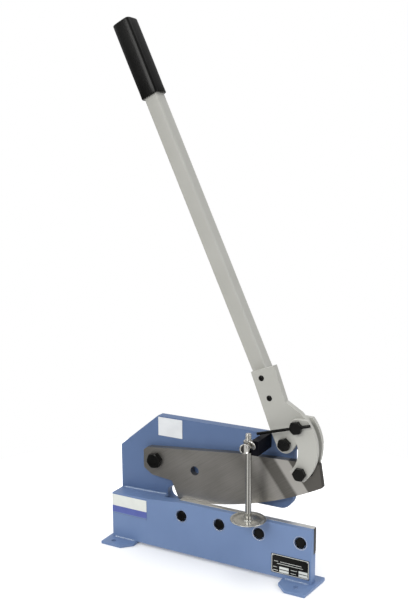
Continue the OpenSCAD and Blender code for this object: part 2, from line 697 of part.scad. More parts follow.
// crescent link plate: outer disc cut by the inner disc, with round ends at both bolts
module crescent(y0, y1, up_r, low_r) difference() {
  union() {
    intersection() {
      bar_y(crescent_x, crescent_z, y0, y1, crescent_r);
      block(upper_x - link_end_r, crescent_x + crescent_r + overrun, y0 - overrun, y1 + overrun,
            lower_link_z, upper_z);
    }
    bar_y(upper_x, upper_z, y0, y1, link_end_r);
    bar_y(lower_link_x, lower_link_z, y0, y1, link_end_r);
    intersection() {
      bar_y(crescent_x, crescent_z, y0, y1, crescent_r);
      block(upper_x, crescent_x + crescent_r, y0, y1, upper_z - overrun, upper_z + link_end_r);
    }
    intersection() {
      bar_y(crescent_x, crescent_z, y0, y1, crescent_r);
      block(lower_link_x, crescent_x + crescent_r, y0, y1,
            lower_link_z - link_end_r, lower_link_z + overrun);
    }
  }
  bar_y(crescent_inner_x, crescent_inner_z, y0 - overrun, y1 + overrun, crescent_inner_r);
  bar_y(upper_x, upper_z, y0 - overrun, y1 + overrun, up_r);
  bar_y(lower_link_x, lower_link_z, y0 - overrun, y1 + overrun, low_r);
}
module front_link() color([0.7, 0.7, 0.68]) put()
  crescent(link_front_y, link_front_y + link_thick, link_shank_r + fit, lower_shank_r + fit);
module rear_link() color([0.7, 0.7, 0.68]) put()
  crescent(link_rear_y, link_rear_y + link_thick, link_shank_r + fit, lower_shank_r + fit);
module upper_link_bolt() color([0.1, 0.1, 0.1]) put() difference() {
  hex_bolt(upper_x, upper_z, link_front_y - fit, link_rear_y + link_thick + nut_height + thread_out,
           link_head_h, link_head_r, link_shank_r, 90 - lock_slope);
  translate([upper_x, rod_y, upper_z]) rotate([0, 90 - lock_slope, 0])
    cylinder(h = cross_hole_share * link_head_r, r = lock_rod_r + fit, center = true);
}
module upper_link_nut() color([0.1, 0.1, 0.1]) put()
  hex_nut(upper_x, upper_z, link_rear_y + link_thick + fit, link_head_r, link_shank_r + fit, 0);
module lower_link_bolt() color([0.1, 0.1, 0.1]) put()
  hex_bolt(lower_link_x, lower_link_z, link_front_y, link_rear_y + link_thick + nut_height + thread_out,
           link_head_h, link_head_r, lower_shank_r, 0);
module lower_link_nut() color([0.1, 0.1, 0.1]) put()
  hex_nut(lower_link_x, lower_link_z, link_rear_y + link_thick, link_head_r, lower_shank_r + fit, 0);

module hold_down_bracket() color([0.1, 0.1, 0.1]) put() difference() {
  block(bracket_left, bracket_right, -bracket_front, frame_y, bracket_low, bracket_high);
  translate([bracket_left - overrun, -hold_y, stud_z]) rotate([0, 90, 0])
    cylinder(h = bracket_right - bracket_left, r = stud_r + fit);
  for (k = [-1, 1])
    bar_y(bracket_mid, screw_z + k * screw_step, frame_y - screw_depth, frame_y + overrun,
          bracket_screw_r + fit);
}
module bracket_screws() color([0.1, 0.1, 0.1]) put() for (k = [-1, 1]) {
  bar_y(bracket_mid, screw_z + k * screw_step, frame_y - screw_depth + overrun,
        frame_back, bracket_screw_r);
  hex_y(bracket_mid, screw_z + k * screw_step, frame_back,
        frame_back + bracket_screw_r * screw_head_share, bracket_screw_r * screw_corner_share, nut_turn);
}
// frame of the wing screw: its axis runs forward from the rod
module on_wing() { translate([hold_x, -hold_y, stud_z]) rotate([0, 0, wing_swing]) children(); }
module clamp_collar() color([0.75, 0.75, 0.76]) put() difference() {
  union() {
    translate([hold_x, -hold_y, collar_low]) cylinder(h = collar_height, r = collar_r);
    translate([hold_x, -hold_y, stud_z]) rotate([0, 90, 0])
      cylinder(h = bracket_right - hold_x - wing_ear_thick, r = stud_r);
  }
  translate([hold_x, -hold_y, collar_low - overrun])
    cylinder(h = collar_height + 2 * overrun, r = hold_rod_r + fit);
  on_wing() bar_y(0, 0, -collar_r - overrun, 0, wing_shank_r + fit);
}
module hold_down_rod() color([0.78, 0.78, 0.8]) put()
  translate([hold_x, -hold_y, disc_z + disc_thick])
    cylinder(h = hold_top - disc_z - disc_thick, r = hold_rod_r);
module hold_down_disc() color([0.78, 0.78, 0.8]) put() translate([hold_x, -hold_y, disc_z])
  rotate_extrude() polygon([[0, 0], [disc_r * rim_share, 0], [disc_r, disc_rise],
                            [disc_r, disc_rise + disc_thick],
                            [disc_r * rim_share, disc_thick], [0, disc_thick]]);
module wing_screw() color([0.75, 0.75, 0.76]) put() on_wing() {
  bar_y(0, 0, -wing_start - overrun, -hold_rod_r - fit, wing_shank_r);
  bar_y(0, 0, -wing_start - wing_hub_h, -wing_start, wing_hub_r);
  for (k = [-1, 1])
    bar_y(k * wing_ear_reach * cos(wing_tilt), k * wing_ear_reach * sin(wing_tilt),
          -wing_start - wing_hub_h, -wing_start - wing_hub_h + wing_ear_thick, wing_ear_r);
}

module lock_rod() color([0.1, 0.1, 0.1]) put()
  translate([upper_x, rod_y, upper_z]) rotate([0, 90 - lock_slope, 0])
    translate([0, 0, -lock_left]) cylinder(h = lock_left + lock_right, r = lock_rod_r);

module rating_plate() color([0.12, 0.12, 0.12]) put() difference() {
  block(rating_x, rating_x + rating_width, -label_thick, 0, rating_z, rating_z + rating_height);
  for (i = rivet_rows, j = rivet_rows)
    bar_y(rating_x + rivet_inset + i * (rating_width - 2 * rivet_inset),
          rating_z + rivet_inset + j * (rating_height - 2 * rivet_inset),
          -label_thick - overrun, overrun, rivet_r + fit);
}
module rating_rivets() color([0.6, 0.6, 0.6]) put() for (i = rivet_rows, j = rivet_rows) {
  x = rating_x + rivet_inset + i * (rating_width - 2 * rivet_inset);
  z = rating_z + rivet_inset + j * (rating_height - 2 * rivet_inset);
  bar_y(x, z, -label_thick, 0, rivet_r);
  bar_y(x, z, -label_thick - rivet_head_h, -label_thick, rivet_r * rivet_head_share);
}
module left_panel() color([0.85, 0.86, 0.84]) put()
  block(panel_inset, panel_inset + panel_width, -label_thick, 0, panel_z, panel_z + panel_height);
module arm_panel() color([0.9, 0.9, 0.9]) put()
  block(arm_panel_x, arm_panel_x + arm_panel_width, frame_y - label_thick, frame_y, arm_panel_z,
        arm_panel_z + arm_panel_height);

base_plate();
spacer_block();
c_frame();
left_foot();
right_foot();
ledge_weld();
foot_welds();
lower_blade();
lower_blade_bolts();
upper_blade();
blade_bush();
blade_pivot_bolt();
blade_pivot_washer();
blade_pivot_nut();
lever_head();
lever_bush();
lever_pivot_bolt();
lever_pivot_washers();
lever_pivot_nut();
lever_tube();
tube_bolts();
tube_nuts();
grip();
front_link();
rear_link();
upper_link_bolt();
upper_link_nut();
lower_link_bolt();
lower_link_nut();
hold_down_bracket();
bracket_screws();
clamp_collar();
hold_down_rod();
hold_down_disc();
wing_screw();
lock_rod();
rating_plate();
rating_rivets();
left_panel();
arm_panel();
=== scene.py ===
import json
import math

import bmesh
import bpy
import numpy as np
from mathutils import Matrix, Vector


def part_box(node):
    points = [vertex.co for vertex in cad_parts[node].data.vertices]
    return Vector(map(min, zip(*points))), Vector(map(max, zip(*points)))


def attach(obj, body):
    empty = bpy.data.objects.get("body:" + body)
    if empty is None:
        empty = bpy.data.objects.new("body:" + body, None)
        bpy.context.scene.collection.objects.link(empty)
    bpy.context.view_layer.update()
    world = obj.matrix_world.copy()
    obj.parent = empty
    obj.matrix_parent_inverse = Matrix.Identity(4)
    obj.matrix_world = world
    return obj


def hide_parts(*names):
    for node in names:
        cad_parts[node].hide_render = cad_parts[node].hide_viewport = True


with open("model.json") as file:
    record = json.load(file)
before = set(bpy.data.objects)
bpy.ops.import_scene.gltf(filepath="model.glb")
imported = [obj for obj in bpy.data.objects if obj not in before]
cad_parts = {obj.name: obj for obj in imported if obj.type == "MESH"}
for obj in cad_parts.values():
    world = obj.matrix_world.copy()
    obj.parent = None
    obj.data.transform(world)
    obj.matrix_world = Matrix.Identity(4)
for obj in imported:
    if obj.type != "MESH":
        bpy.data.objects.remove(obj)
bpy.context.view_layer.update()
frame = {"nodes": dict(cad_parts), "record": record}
bodyOfNode = {
    node: body
    for body, nodes in frame["record"]["behaviour"]["bodies"].items()
    for node in nodes
}
mm = 0.001
print("frame loaded:", len(frame["nodes"]), "nodes")


# places
# plate coordinates: millimetres from the lower front left corner of the base plate
plateCorner = np.array([-231.5, 19.0, 6.0])
backward = np.array([0, 1, 0])
upward = np.array([0, 0, 1])


def toPart(points):
    # plate coordinates to metres in the part's own frame
    return (np.asarray(points, float) + plateCorner) * mm


def nodeBox(node):
    # lowest and highest corner of a node, in plate coordinates
    return np.array(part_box(node)) / mm - plateCorner


def nodeMiddle(node):
    return np.sum(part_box(node), 0) / 2 / mm - plateCorner


# at rest the lever leans left; its tube's middle lies tubeMiddleY behind the plate's front
leverFrame = {"lean": 24.5, "tubeMiddleY": 55.1}
leverPivot = nodeMiddle("lever_bush")
leverLean = math.radians(leverFrame["lean"])
alongLever = np.array([-math.sin(leverLean), 0, math.cos(leverLean)])
acrossLever = np.array([math.cos(leverLean), 0, math.sin(leverLean)])


def onLever(along, across, y):
    # pivot plus the two lever directions, at a given depth
    along, across, y = np.broadcast_arrays(along, across, y)
    point = leverPivot + along[..., None] * alongLever + across[..., None] * acrossLever
    point[..., 1] = y
    return point


def newObject(name, data):
    thing = bpy.data.objects.new(name, data)
    bpy.context.scene.collection.objects.link(thing)
    return thing


# camera and light
cameraValues = {
    # metres and radians; focal length and height in the photo's pixels; sensor in millimetres
    "place": (0.7727073, -1.3679976, 0.8032167), "yaw": 0.5007970, "pitch": 0.1632165, "roll": -0.0046986,
    "focalPixels": 808.0596, "imageHeight": 613, "sensor": 36, "nearest": 0.05, "farthest": 60,
    # share of the picture's longer side
    "shiftX": -0.00714,
}


def makeCamera(view):
    yaw, pitch, roll = view["yaw"], view["pitch"], view["roll"]
    forward = Vector((-math.sin(yaw) * math.cos(pitch), math.cos(yaw) * math.cos(pitch), -math.sin(pitch)))
    level = Vector((math.cos(yaw), math.sin(yaw), 0))
    right = level * math.cos(roll) + level.cross(forward) * math.sin(roll)
    data = bpy.data.cameras.new("photoCamera")
    data.sensor_width = view["sensor"]
    data.lens = view["focalPixels"] / view["imageHeight"] * data.sensor_width
    data.shift_x = view["shiftX"]
    data.clip_start, data.clip_end = view["nearest"], view["farthest"]
    camera = newObject("photoCamera", data)
    turn = Matrix((right, right.cross(forward), -forward)).transposed().to_4x4()
    camera.matrix_world = Matrix.Translation(view["place"]) @ turn
    bpy.context.scene.camera = camera


makeCamera(cameraValues)

lightValues = {
    # square lamps, in metres and watts
    "key": {"place": (-0.75, -2.65, 1.85), "size": 1.2, "power": 42, "colour": (1.0, 0.99, 0.97)},
    "left": {"place": (-2.4, -0.9, 1.6), "size": 1.4, "power": 14, "colour": (0.98, 0.99, 1.0)},
    "side": {"place": (2.4, 0.1, 1.5), "size": 1.5, "power": 26, "colour": (0.97, 0.97, 1.0)},
    "top": {"place": (0.2, 0.6, 2.8), "size": 1.8, "power": 20, "colour": (1.0, 1.0, 1.0)},
}
aimPoint = Vector((0.0, 0.0, 0.35))


def makeLight(name, lamp):
    data = bpy.data.lights.new(name, "AREA")
    data.shape = "SQUARE"
    data.size, data.energy, data.color = lamp["size"], lamp["power"], lamp["colour"]
    light = newObject(name, data)
    light.location = lamp["place"]
    light.rotation_euler = (aimPoint - Vector(lamp["place"])).to_track_quat("-Z", "Y").to_euler()


for lightName, lightValue in lightValues.items():
    makeLight(lightName + "Light", lightValue)


# shader helpers
def addNode(tree, kind, links=None, **settings):
    node = tree.nodes.new("ShaderNode" + kind)
    for key, value in settings.items():
        setattr(node, key, value)
    for key, source in (links or {}).items():
        if isinstance(source, bpy.types.NodeSocket):
            tree.links.new(source, node.inputs[key])
        else:
            node.inputs[key].default_value = source
    return node


def addNoise(tree, where, scale, detail, rough):
    return addNode(tree, "TexNoise", {
        "Vector": where, "Scale": scale, "Detail": detail, "Roughness": rough}).outputs["Fac"]


def coordinates(tree, kind="Object"):
    return addNode(tree, "TexCoord").outputs[kind]


def mapped(tree, value, low, high, newLow=0, newHigh=1, kind="LINEAR"):
    limits = {"Value": value, "From Min": low, "From Max": high, "To Min": newLow, "To Max": newHigh}
    return addNode(tree, "MapRange", limits, interpolation_type=kind).outputs[0]


def mixTones(tree, share, first, second):
    return addNode(tree, "Mix", {0: share, 6: first, 7: second}, data_type="RGBA").outputs[2]


def mixByRay(tree, ray, usual, special):
    # rays of the named kind see the special shader
    seen = addNode(tree, "LightPath").outputs[ray]
    return addNode(tree, "MixShader", {0: seen, 1: usual, 2: special}).outputs[0]


def radialRamp(tree, where, stops):
    # brightness by the direction round the vertical
    radial = addNode(tree, "TexGradient", {"Vector": where}, gradient_type="RADIAL")
    return greyRamp(tree, stops, radial.outputs["Fac"])


def greyRamp(tree, stops, source):
    # stops are pairs of place and brightness
    ramp = addNode(tree, "ValToRGB", {0: source})
    marks = ramp.color_ramp.elements
    while len(marks) < len(stops):
        marks.new(1.0)
    for mark, (place, grey) in zip(marks, stops):
        mark.position, mark.color = place, (grey, grey, grey, 1)
    return ramp.outputs[0]


roomValues = {
    "seen": (1.0, 1.0, 1.0),
    # brightness for soft light, at share of height: 0 straight down, 1 straight up
    "heights": [(0.40, 0.22), (0.62, 0.42), (0.95, 0.75)],
    # brightness for mirrored light, at share of the full turn: 0 and 1 behind to the left
    "turns": [
        (0.00, 0.30), (0.144, 0.26), (0.169, 0.48), (0.20, 1.0), (0.317, 1.0), (0.339, 0.08), (0.422, 0.06),
        (0.444, 0.9), (0.594, 0.9), (0.617, 0.20), (0.71, 0.22), (0.76, 0.8), (0.95, 0.6), (1.00, 0.30),
    ],
    # mirrors see this brightness overhead, coming in between these heights
    "overhead": 0.8, "overheadFrom": 0.3, "overheadTo": 0.8,
}


def makeRoom(room):
    # the camera sees white; soft light gets brighter upward; mirrors see bright and dark walls
    world = bpy.data.worlds.new("studio")
    world.use_nodes = True
    tree = world.node_tree
    tree.nodes.clear()
    where = coordinates(tree, "Generated")
    rise = addNode(tree, "SeparateXYZ", {0: where}).outputs["Z"]
    above = mapped(tree, rise, room["overheadFrom"], room["overheadTo"], kind="SMOOTHSTEP")
    overhead = (*[room["overhead"]] * 3, 1)
    tones = {
        "soft": greyRamp(tree, room["heights"], mapped(tree, rise, -1, 1)),
        "mirrored": mixTones(tree, above, radialRamp(tree, where, room["turns"]), overhead),
        "seen": (*room["seen"], 1),
    }
    looks = {key: addNode(tree, "Background", {"Color": tone}).outputs[0]
             for key, tone in tones.items()}
    unseen = mixByRay(tree, "Is Glossy Ray", looks["soft"], looks["mirrored"])
    addNode(tree, "OutputWorld", {0: mixByRay(tree, "Is Camera Ray", unseen, looks["seen"])})
    bpy.context.scene.world = world


makeRoom(roomValues)
bpy.context.scene.view_settings.view_transform = "Standard"
print("camera and light made")


# shader groups
def newGroup(name, inputs, outputs):
    group = bpy.data.node_groups.new(name, "ShaderNodeTree")
    for label, value in inputs.items():
        socket = group.interface.new_socket(label, in_out="INPUT", socket_type="NodeSocketFloat")
        socket.default_value = value
    for label in outputs:
        group.interface.new_socket(label, in_out="OUTPUT", socket_type="NodeSocketFloat")
    return group, group.nodes.new("NodeGroupInput"), group.nodes.new("NodeGroupOutput")


def makeGrainGroup():
    # fine noise for the skin of paint, and slow noise for clouds of tone
    group, given, out = newGroup("surfaceGrain", {"Fine": 900.0, "Slow": 14.0}, ["Skin", "Cloud"])
    where = coordinates(group)
    group.links.new(addNoise(group, where, given.outputs["Fine"], 2.0, 0.5), out.inputs["Skin"])
    group.links.new(addNoise(group, where, given.outputs["Slow"], 3.0, 0.55), out.inputs["Cloud"])
    return group


def makeBrushGroup():
    # noise stretched along one way, like grinding lines
    group, given, out = newGroup(
        "grindLines", {"Turn": 0.0, "Along": 18.0, "Across": 1500.0, "Slow": 7.0}, ["Lines", "Cloud"])
    where = coordinates(group)
    angle = addNode(group, "CombineXYZ", {"Y": given.outputs["Turn"]})
    size = addNode(group, "CombineXYZ", {
        "X": given.outputs["Along"], "Y": given.outputs["Across"], "Z": given.outputs["Across"]})
    turned = addNode(group, "VectorRotate", {
        "Vector": where, "Rotation": angle.outputs[0]}, rotation_type="EULER_XYZ")
    stretched = addNode(group, "VectorMath", {
        0: turned.outputs[0], 1: size.outputs[0]}, operation="MULTIPLY")
    group.links.new(addNoise(group, stretched.outputs[0], 1.0, 3.0, 0.6), out.inputs["Lines"])
    group.links.new(addNoise(group, where, given.outputs["Slow"], 2.0, 0.5), out.inputs["Cloud"])
    return group


paintedReflectionValues = {
    # painted reflection: bands of lighter and darker base colour lie across the ground face where x + slant
    # * z is constant, from start to end in metres
    "slant": 0.744, "start": 0.003, "end": 0.373,
    "bands": [
        (0.0, 0.44), (0.22, 0.50), (0.49, 0.46), (0.66, 0.36), (0.74, 0.52), (0.778, 0.52), (0.797, 0.22),
        (0.87, 0.26), (0.90, 1.0), (0.955, 0.95), (0.972, 0.0), (1.0, 0.0),
    ],
    # slow clouds shift the bands by up to half of wobble
    "wobble": 0.2, "cloudScale": 16.0,
}


def makePaintedReflectionGroup(zones):
    # painted reflection: askew bands of a mirrored room laid into the base colour, with slow clouds over
    # them
    group, given, out = newGroup("paintedReflectionBands", {"Slant": zones["slant"]}, ["Zone"])
    where = coordinates(group)
    split = addNode(group, "SeparateXYZ", {0: where})
    askew = addNode(group, "Math", {
        0: split.outputs["Z"], 1: given.outputs["Slant"], 2: split.outputs["X"]}, operation="MULTIPLY_ADD")
    share = mapped(group, askew.outputs[0], zones["start"], zones["end"])
    clouds = addNoise(group, where, zones["cloudScale"], 1.0, 0.4)
    sway = mapped(group, clouds, 0, 1, -zones["wobble"] / 2, zones["wobble"] / 2)
    both = addNode(group, "Math", {
        0: greyRamp(group, zones["bands"], share), 1: sway}, operation="ADD", use_clamp=True)
    group.links.new(both.outputs[0], out.inputs["Zone"])
    return group


surfaceGrain = makeGrainGroup()
grindLines = makeBrushGroup()
paintedReflectionBands = makePaintedReflectionGroup(paintedReflectionValues)


# materials
skinValues = {
    # noise stays mostly between low and high
    "low": 0.3, "high": 0.7,
    # bump heights in metres
    "paintBump": 0.0004, "steelBump": 0.0002,
    "coatRough": 0.25,
    # share of slow clouds beside the fine lines on steel without bands
    "cloudShare": 0.45,
}


def newMaterial(name):
    material = bpy.data.materials.new(name)
    material.use_nodes = True
    tree = material.node_tree
    return material, tree, tree.nodes["Principled BSDF"]


def placeGroup(tree, group, **values):
    return addNode(tree, "Group", values, node_tree=group)


def spreadOut(tree, mask, low, high):
    # the noise's usual range, stretched to run from low to high
    return mapped(tree, mask, skinValues["low"], skinValues["high"], low, high)


def toneBetween(tree, shader, mask, dark, light):
    tone = mixTones(tree, spreadOut(tree, mask, 0, 1), (*dark, 1), (*light, 1))
    tree.links.new(tone, shader.inputs["Base Color"])


def roughBetween(tree, shader, mask, low, high):
    tree.links.new(spreadOut(tree, mask, low, high), shader.inputs["Roughness"])


def bumpFrom(tree, shader, height, strength, distance):
    bump = addNode(tree, "Bump", {"Height": height, "Strength": strength, "Distance": distance})
    tree.links.new(bump.outputs[0], shader.inputs["Normal"])


def paint(name, dark, light, rough, coat=0.0, fine=700.0, slow=9.0, bump=0.12, metallic=0.0, shine=0.5):
    material, tree, shader = newMaterial(name)
    grain = placeGroup(tree, surfaceGrain, Fine=fine, Slow=slow)
    toneBetween(tree, shader, grain.outputs["Cloud"], dark, light)
    roughBetween(tree, shader, grain.outputs["Cloud"], *rough)
    bumpFrom(tree, shader, grain.outputs["Skin"], bump, skinValues["paintBump"])
    finish = {"Coat Weight": coat, "Coat Roughness": skinValues["coatRough"], "Specular IOR Level": shine,
              "Metallic": metallic}
    for key, value in finish.items():
        shader.inputs[key].default_value = value
    return material


def steel(name, dark, light, rough, turn=0.0, along=18.0, across=1500.0, bump=0.1, metallic=1.0, zones=0.0,
          edge=None):
    # zones is the share of the painted reflection bands in the base colour; edge is a painted sky
    # reflection, a bright tone mixed in on faces that look up
    material, tree, shader = newMaterial(name)
    grain = placeGroup(tree, grindLines, Turn=turn, Along=along, Across=across)
    # where zones is given, painted reflection bands take the place of the slow clouds
    slow = placeGroup(tree, paintedReflectionBands).outputs["Zone"] if zones else grain.outputs["Cloud"]
    both = addNode(tree, "Mix", {
        0: zones or skinValues["cloudShare"], 2: grain.outputs["Lines"], 3: slow})
    toneBetween(tree, shader, both.outputs[0], dark, light)
    roughBetween(tree, shader, grain.outputs["Lines"], *rough)
    bumpFrom(tree, shader, grain.outputs["Lines"], bump, skinValues["steelBump"])
    shader.inputs["Metallic"].default_value = metallic
    # painted sky reflection: faces that look up are mixed toward the bright edge tone
    if edge:
        tone = shader.inputs["Base Color"]
        paintedSkySheen = addNode(tree, "SeparateXYZ", {0: coordinates(tree, "Normal")}).outputs["Z"]
        tree.links.new(mixTones(tree, paintedSkySheen, tone.links[0].from_socket, (*edge, 1)), tone)
    return material


# each has its dark and light tone and its range of roughness first
bluePaint = paint(
    "bluePaint", (0.131, 0.201, 0.362), (0.148, 0.224, 0.396), (0.38, 0.48), coat=0.08, shine=0.35)
# a darker, duller copy of bluePaint for the frame: painted shade, as the frame stands back behind the plates
# and blade
frameBlueShaded = paint(
    "frameBlueShaded", (0.084, 0.136, 0.262), (0.096, 0.154, 0.292), (0.40, 0.50), coat=0.05, shine=0.3)
weldPaint = paint("weldPaint", (0.17, 0.24, 0.38), (0.20, 0.28, 0.43), (0.14, 0.24), coat=0.7, bump=0.3)
greyPaint = paint(
    "greyPaint", (0.400, 0.399, 0.368), (0.430, 0.429, 0.398), (0.38, 0.48), coat=0.08, bump=0.07)
# the blade's base colour is mostly painted reflection: askew bands of a mirrored room
bladeSteel = steel(
    "bladeSteel", (0.112, 0.106, 0.096), (0.420, 0.405, 0.380), (0.34, 0.44), turn=0.6, metallic=0.8,
    zones=0.8)
# the bright edge tone here is a painted sky reflection on the blade's upward faces
bedSteel = steel(
    "bedSteel", (0.09, 0.088, 0.084), (0.16, 0.157, 0.150), (0.32, 0.44), edge=(0.62, 0.62, 0.60))
blackOxide = paint(
    "blackOxide", (0.004, 0.004, 0.004), (0.009, 0.009, 0.008), (0.24, 0.34), slow=60, metallic=0.6,
    shine=0.25)
bracketBlack = paint(
    "bracketBlack", (0.0025, 0.0025, 0.004), (0.005, 0.005, 0.009), (0.45, 0.58), metallic=0.5, shine=0.12)
nickelPlate = steel(
    "nickelPlate", (0.42, 0.41, 0.385), (0.52, 0.51, 0.48), (0.07, 0.14), along=40, across=400)
satinNickel = steel(
    "satinNickel", (0.38, 0.38, 0.355), (0.50, 0.50, 0.47), (0.20, 0.26), along=40, across=90, bump=0.03,
    metallic=0.8)
zincPlate = steel("zincPlate", (0.52, 0.52, 0.53), (0.62, 0.62, 0.63), (0.30, 0.42))
bareSteel = steel("bareSteel", (0.66, 0.66, 0.66), (0.78, 0.78, 0.78), (0.20, 0.32))
bronzeBush = steel("bronzeBush", (0.55, 0.38, 0.18), (0.66, 0.47, 0.24), (0.28, 0.4))
gripVinyl = paint(
    "gripVinyl", (0.002, 0.002, 0.0018), (0.004, 0.004, 0.0035), (0.24, 0.32), fine=420, bump=0.18,
    shine=0.13)
plateBlack = paint(
    "plateBlack", (0.004, 0.004, 0.003), (0.007, 0.007, 0.006), (0.36, 0.44), slow=40, shine=0.2)
printWhite = paint("printWhite", (0.62, 0.64, 0.66), (0.68, 0.70, 0.72), (0.36, 0.44), slow=40)
printCream = paint("printCream", (0.62, 0.64, 0.60), (0.68, 0.70, 0.66), (0.36, 0.44), slow=40)
printBlue = paint("printBlue", (0.075, 0.100, 0.33), (0.09, 0.12, 0.37), (0.36, 0.44), slow=40)
printLine = paint("printLine", (0.10, 0.14, 0.22), (0.12, 0.16, 0.25), (0.36, 0.44), slow=40)
print("materials made")


# mesh making
def ringFaces(rings, sides, capped):
    # quads between neighbouring rings, and flat ends where asked
    start = np.arange(rings - 1)[:, None] * sides
    here = np.arange(sides)[None, :]
    after = (here + 1) % sides
    quads = np.stack([start + here, start + after, start + sides + after, start + sides + here], -1)
    faces = quads.reshape(-1, 4).tolist()
    if capped:
        faces.append(list(range(sides))[::-1])
        faces.append(list(range((rings - 1) * sides, rings * sides)))
    return faces


def signedVolume(points, faces):
    # six times the volume, summed over each face's fan
    points = points - points.mean(0)
    fans = [(face[0], face[k], face[k + 1]) for face in faces for k in range(1, len(face) - 1)]
    first, second, third = points[np.array(fans)].transpose(1, 0, 2)
    return (first * np.cross(second, third)).sum()


def shell(rings, closed=False):
    # one closed surface from an array of rings; closed joins the last ring to the first
    rings = np.asarray(rings, float)
    if closed:
        rings = np.concatenate([rings, rings[:1]])
    count, sides = rings.shape[:2]
    points = rings.reshape(-1, 3)
    faces = ringFaces(count, sides, not closed)
    if closed:
        last = (count - 1) * sides
        faces = [[corner % last for corner in face] for face in faces]
        points = points[:last]
    if signedVolume(points, faces) < 0:
        faces = [face[::-1] for face in faces]
    return points, faces


def joined(shells):
    points, faces, start = [], [], 0
    for shellPoints, shellFaces in shells:
        points.append(shellPoints)
        faces += [[corner + start for corner in face] for face in shellFaces]
        start += len(shellPoints)
    return np.concatenate(points), faces


def newMesh(name, points, faces, material):
    mesh = bpy.data.meshes.new(name)
    mesh.from_pydata(points, [], faces)
    mesh.update()
    mesh.shade_smooth()
    mesh.materials.append(material)
    return mesh


def nodeFor(name):
    # the piece bladePivotBolt stands for the node blade_pivot_bolt
    return "".join("_" + letter.lower() if letter.isupper() else letter for letter in name)


def addObject(name, mesh, node=None, body=None):
    # a piece replaces the node of its own name, or the one given, unless it only rides on a body
    piece = newObject(name, mesh)
    node = node or nodeFor(name)
    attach(piece, body or bodyOfNode[node])
    if not body:
        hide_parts(node)
    return piece


def addPiece(name, shells, material, node=None, body=None, sharp=35):
    # closed surfaces in plate coordinates; edges steeper than sharp degrees stay sharp
    points, faces = joined(shells)
    mesh = newMesh(name, toPart(points).tolist(), faces, material)
    mesh.set_sharp_from_angle(angle=math.radians(sharp))
    return addObject(name, mesh, node, body)


# metres and degrees within which points and faces merge, and degrees from which edges are rounded
copyValues = {"mergeWithin": 3e-6, "flatWithin": 0.3, "roundFrom": 28}


def roundedCopy(name, radius, material, segments=3):
    # the node's own solid with its loose triangles merged and its edges rounded
    build = bmesh.new()
    build.from_mesh(frame["nodes"][nodeFor(name)].data)
    bmesh.ops.remove_doubles(build, verts=build.verts, dist=copyValues["mergeWithin"])
    bmesh.ops.dissolve_limit(
        build, angle_limit=math.radians(copyValues["flatWithin"]), verts=build.verts, edges=build.edges)
    build.verts.index_update()
    points = [vertex.co[:] for vertex in build.verts]
    faces = [[vertex.index for vertex in face.verts] for face in build.faces]
    build.free()
    piece = addObject(name, newMesh(name, points, faces, material))
    bevel = piece.modifiers.new("softEdges", "BEVEL")
    bevel.width, bevel.segments = radius * mm, segments
    bevel.limit_method, bevel.angle_limit = "ANGLE", math.radians(copyValues["roundFrom"])
    bevel.harden_normals = True
    return piece


def around(sides, turn=0.0):
    return np.arange(sides) * 2 * math.pi / sides + turn


def circle(sides, turn=0.0):
    return np.cos(around(sides, turn)), np.sin(around(sides, turn))


def basis(axis):
    # the axis at length one, and two directions square to it
    axis = np.asarray(axis, float) / np.linalg.norm(axis)
    side = np.cross(axis, upward if abs(axis[2]) < 0.9 else backward)
    side /= np.linalg.norm(side)
    return axis, side, np.cross(axis, side)


def lathe(profile, place, axis, sides=64, closed=False):
    # profile of (radius, distance along the axis) turned round the axis
    profile = np.asarray(profile, float)
    axis, side, other = basis(axis)
    cosine, sine = circle(sides)
    radius, along = profile[:, 0, None, None], profile[:, 1, None, None]
    rings = place + along * axis + radius * (cosine[:, None] * side + sine[:, None] * other)
    return shell(rings, closed=closed)


def rod(place, axis, radius, length, sides):
    return lathe([[radius, 0], [radius, length]], place, axis, sides)


def roundedEnds(start, length):
    # a profile's start, mirrored to give its other end
    return start + [[radius, length - along] for radius, along in start[::-1]]


def dome(radius, rise, upTo, steps):
    # from a turned head's edge up its round face
    angles = np.linspace(0, upTo, steps)
    return [[radius * math.cos(angle), rise * (1 - math.sin(angle))] for angle in angles]


def hexRadius(theta, corner):
    # distance to a hexagon's side in the direction theta
    sixth = math.pi / 3
    return corner * math.cos(sixth / 2) / np.cos((theta % sixth) - sixth / 2)


hexValues = {
    # rings at these shares of the height
    "levels": (0, 0.03, 0.5, 0.7, 0.78, 0.84, 0.89, 0.93, 0.96, 0.985, 1.0),
    # the cone's radius at the face as a share of the flats', and how it widens
    "coneShare": 0.975, "coneSlope": 1.75,
    # the seat's narrowing, the face's rings, and the chamfer of a nut's bore
    "seatEase": 0.2, "faceRise": 0.05, "faceShares": (0.8, 0.3), "chamfer": 0.6, "sides": 96,
}


def hexHead(x, z, seatY, height, corner, turn, front=-1, bore=0.0):
    # a hexagon cut by a cone: the radius is the smaller of the two; front -1 faces the viewer
    flat, sides = corner * math.cos(math.pi / 6), hexValues["sides"]
    turn = math.radians(turn)
    hexagon = hexRadius(around(sides, turn) - turn, corner)
    levels = height * np.array(hexValues["levels"])
    cone = flat * hexValues["coneShare"] + (height - levels) * hexValues["coneSlope"]
    radii = np.minimum(hexagon[None, :], cone[:, None])
    radii[0] -= hexValues["seatEase"]
    rings = list(zip(levels, radii))
    if bore:
        rings += [(height, bore + hexValues["chamfer"]), (height - hexValues["chamfer"], bore), (0.0, bore)]
    else:
        rings += [(height + hexValues["faceRise"], flat * share) for share in hexValues["faceShares"]]
    cosine, sine = circle(sides, turn)
    points = [np.stack([x + ring * cosine, np.full(sides, seatY + front * level), z + ring * sine], -1)
              for level, ring in rings]
    return shell(points, closed=bool(bore))


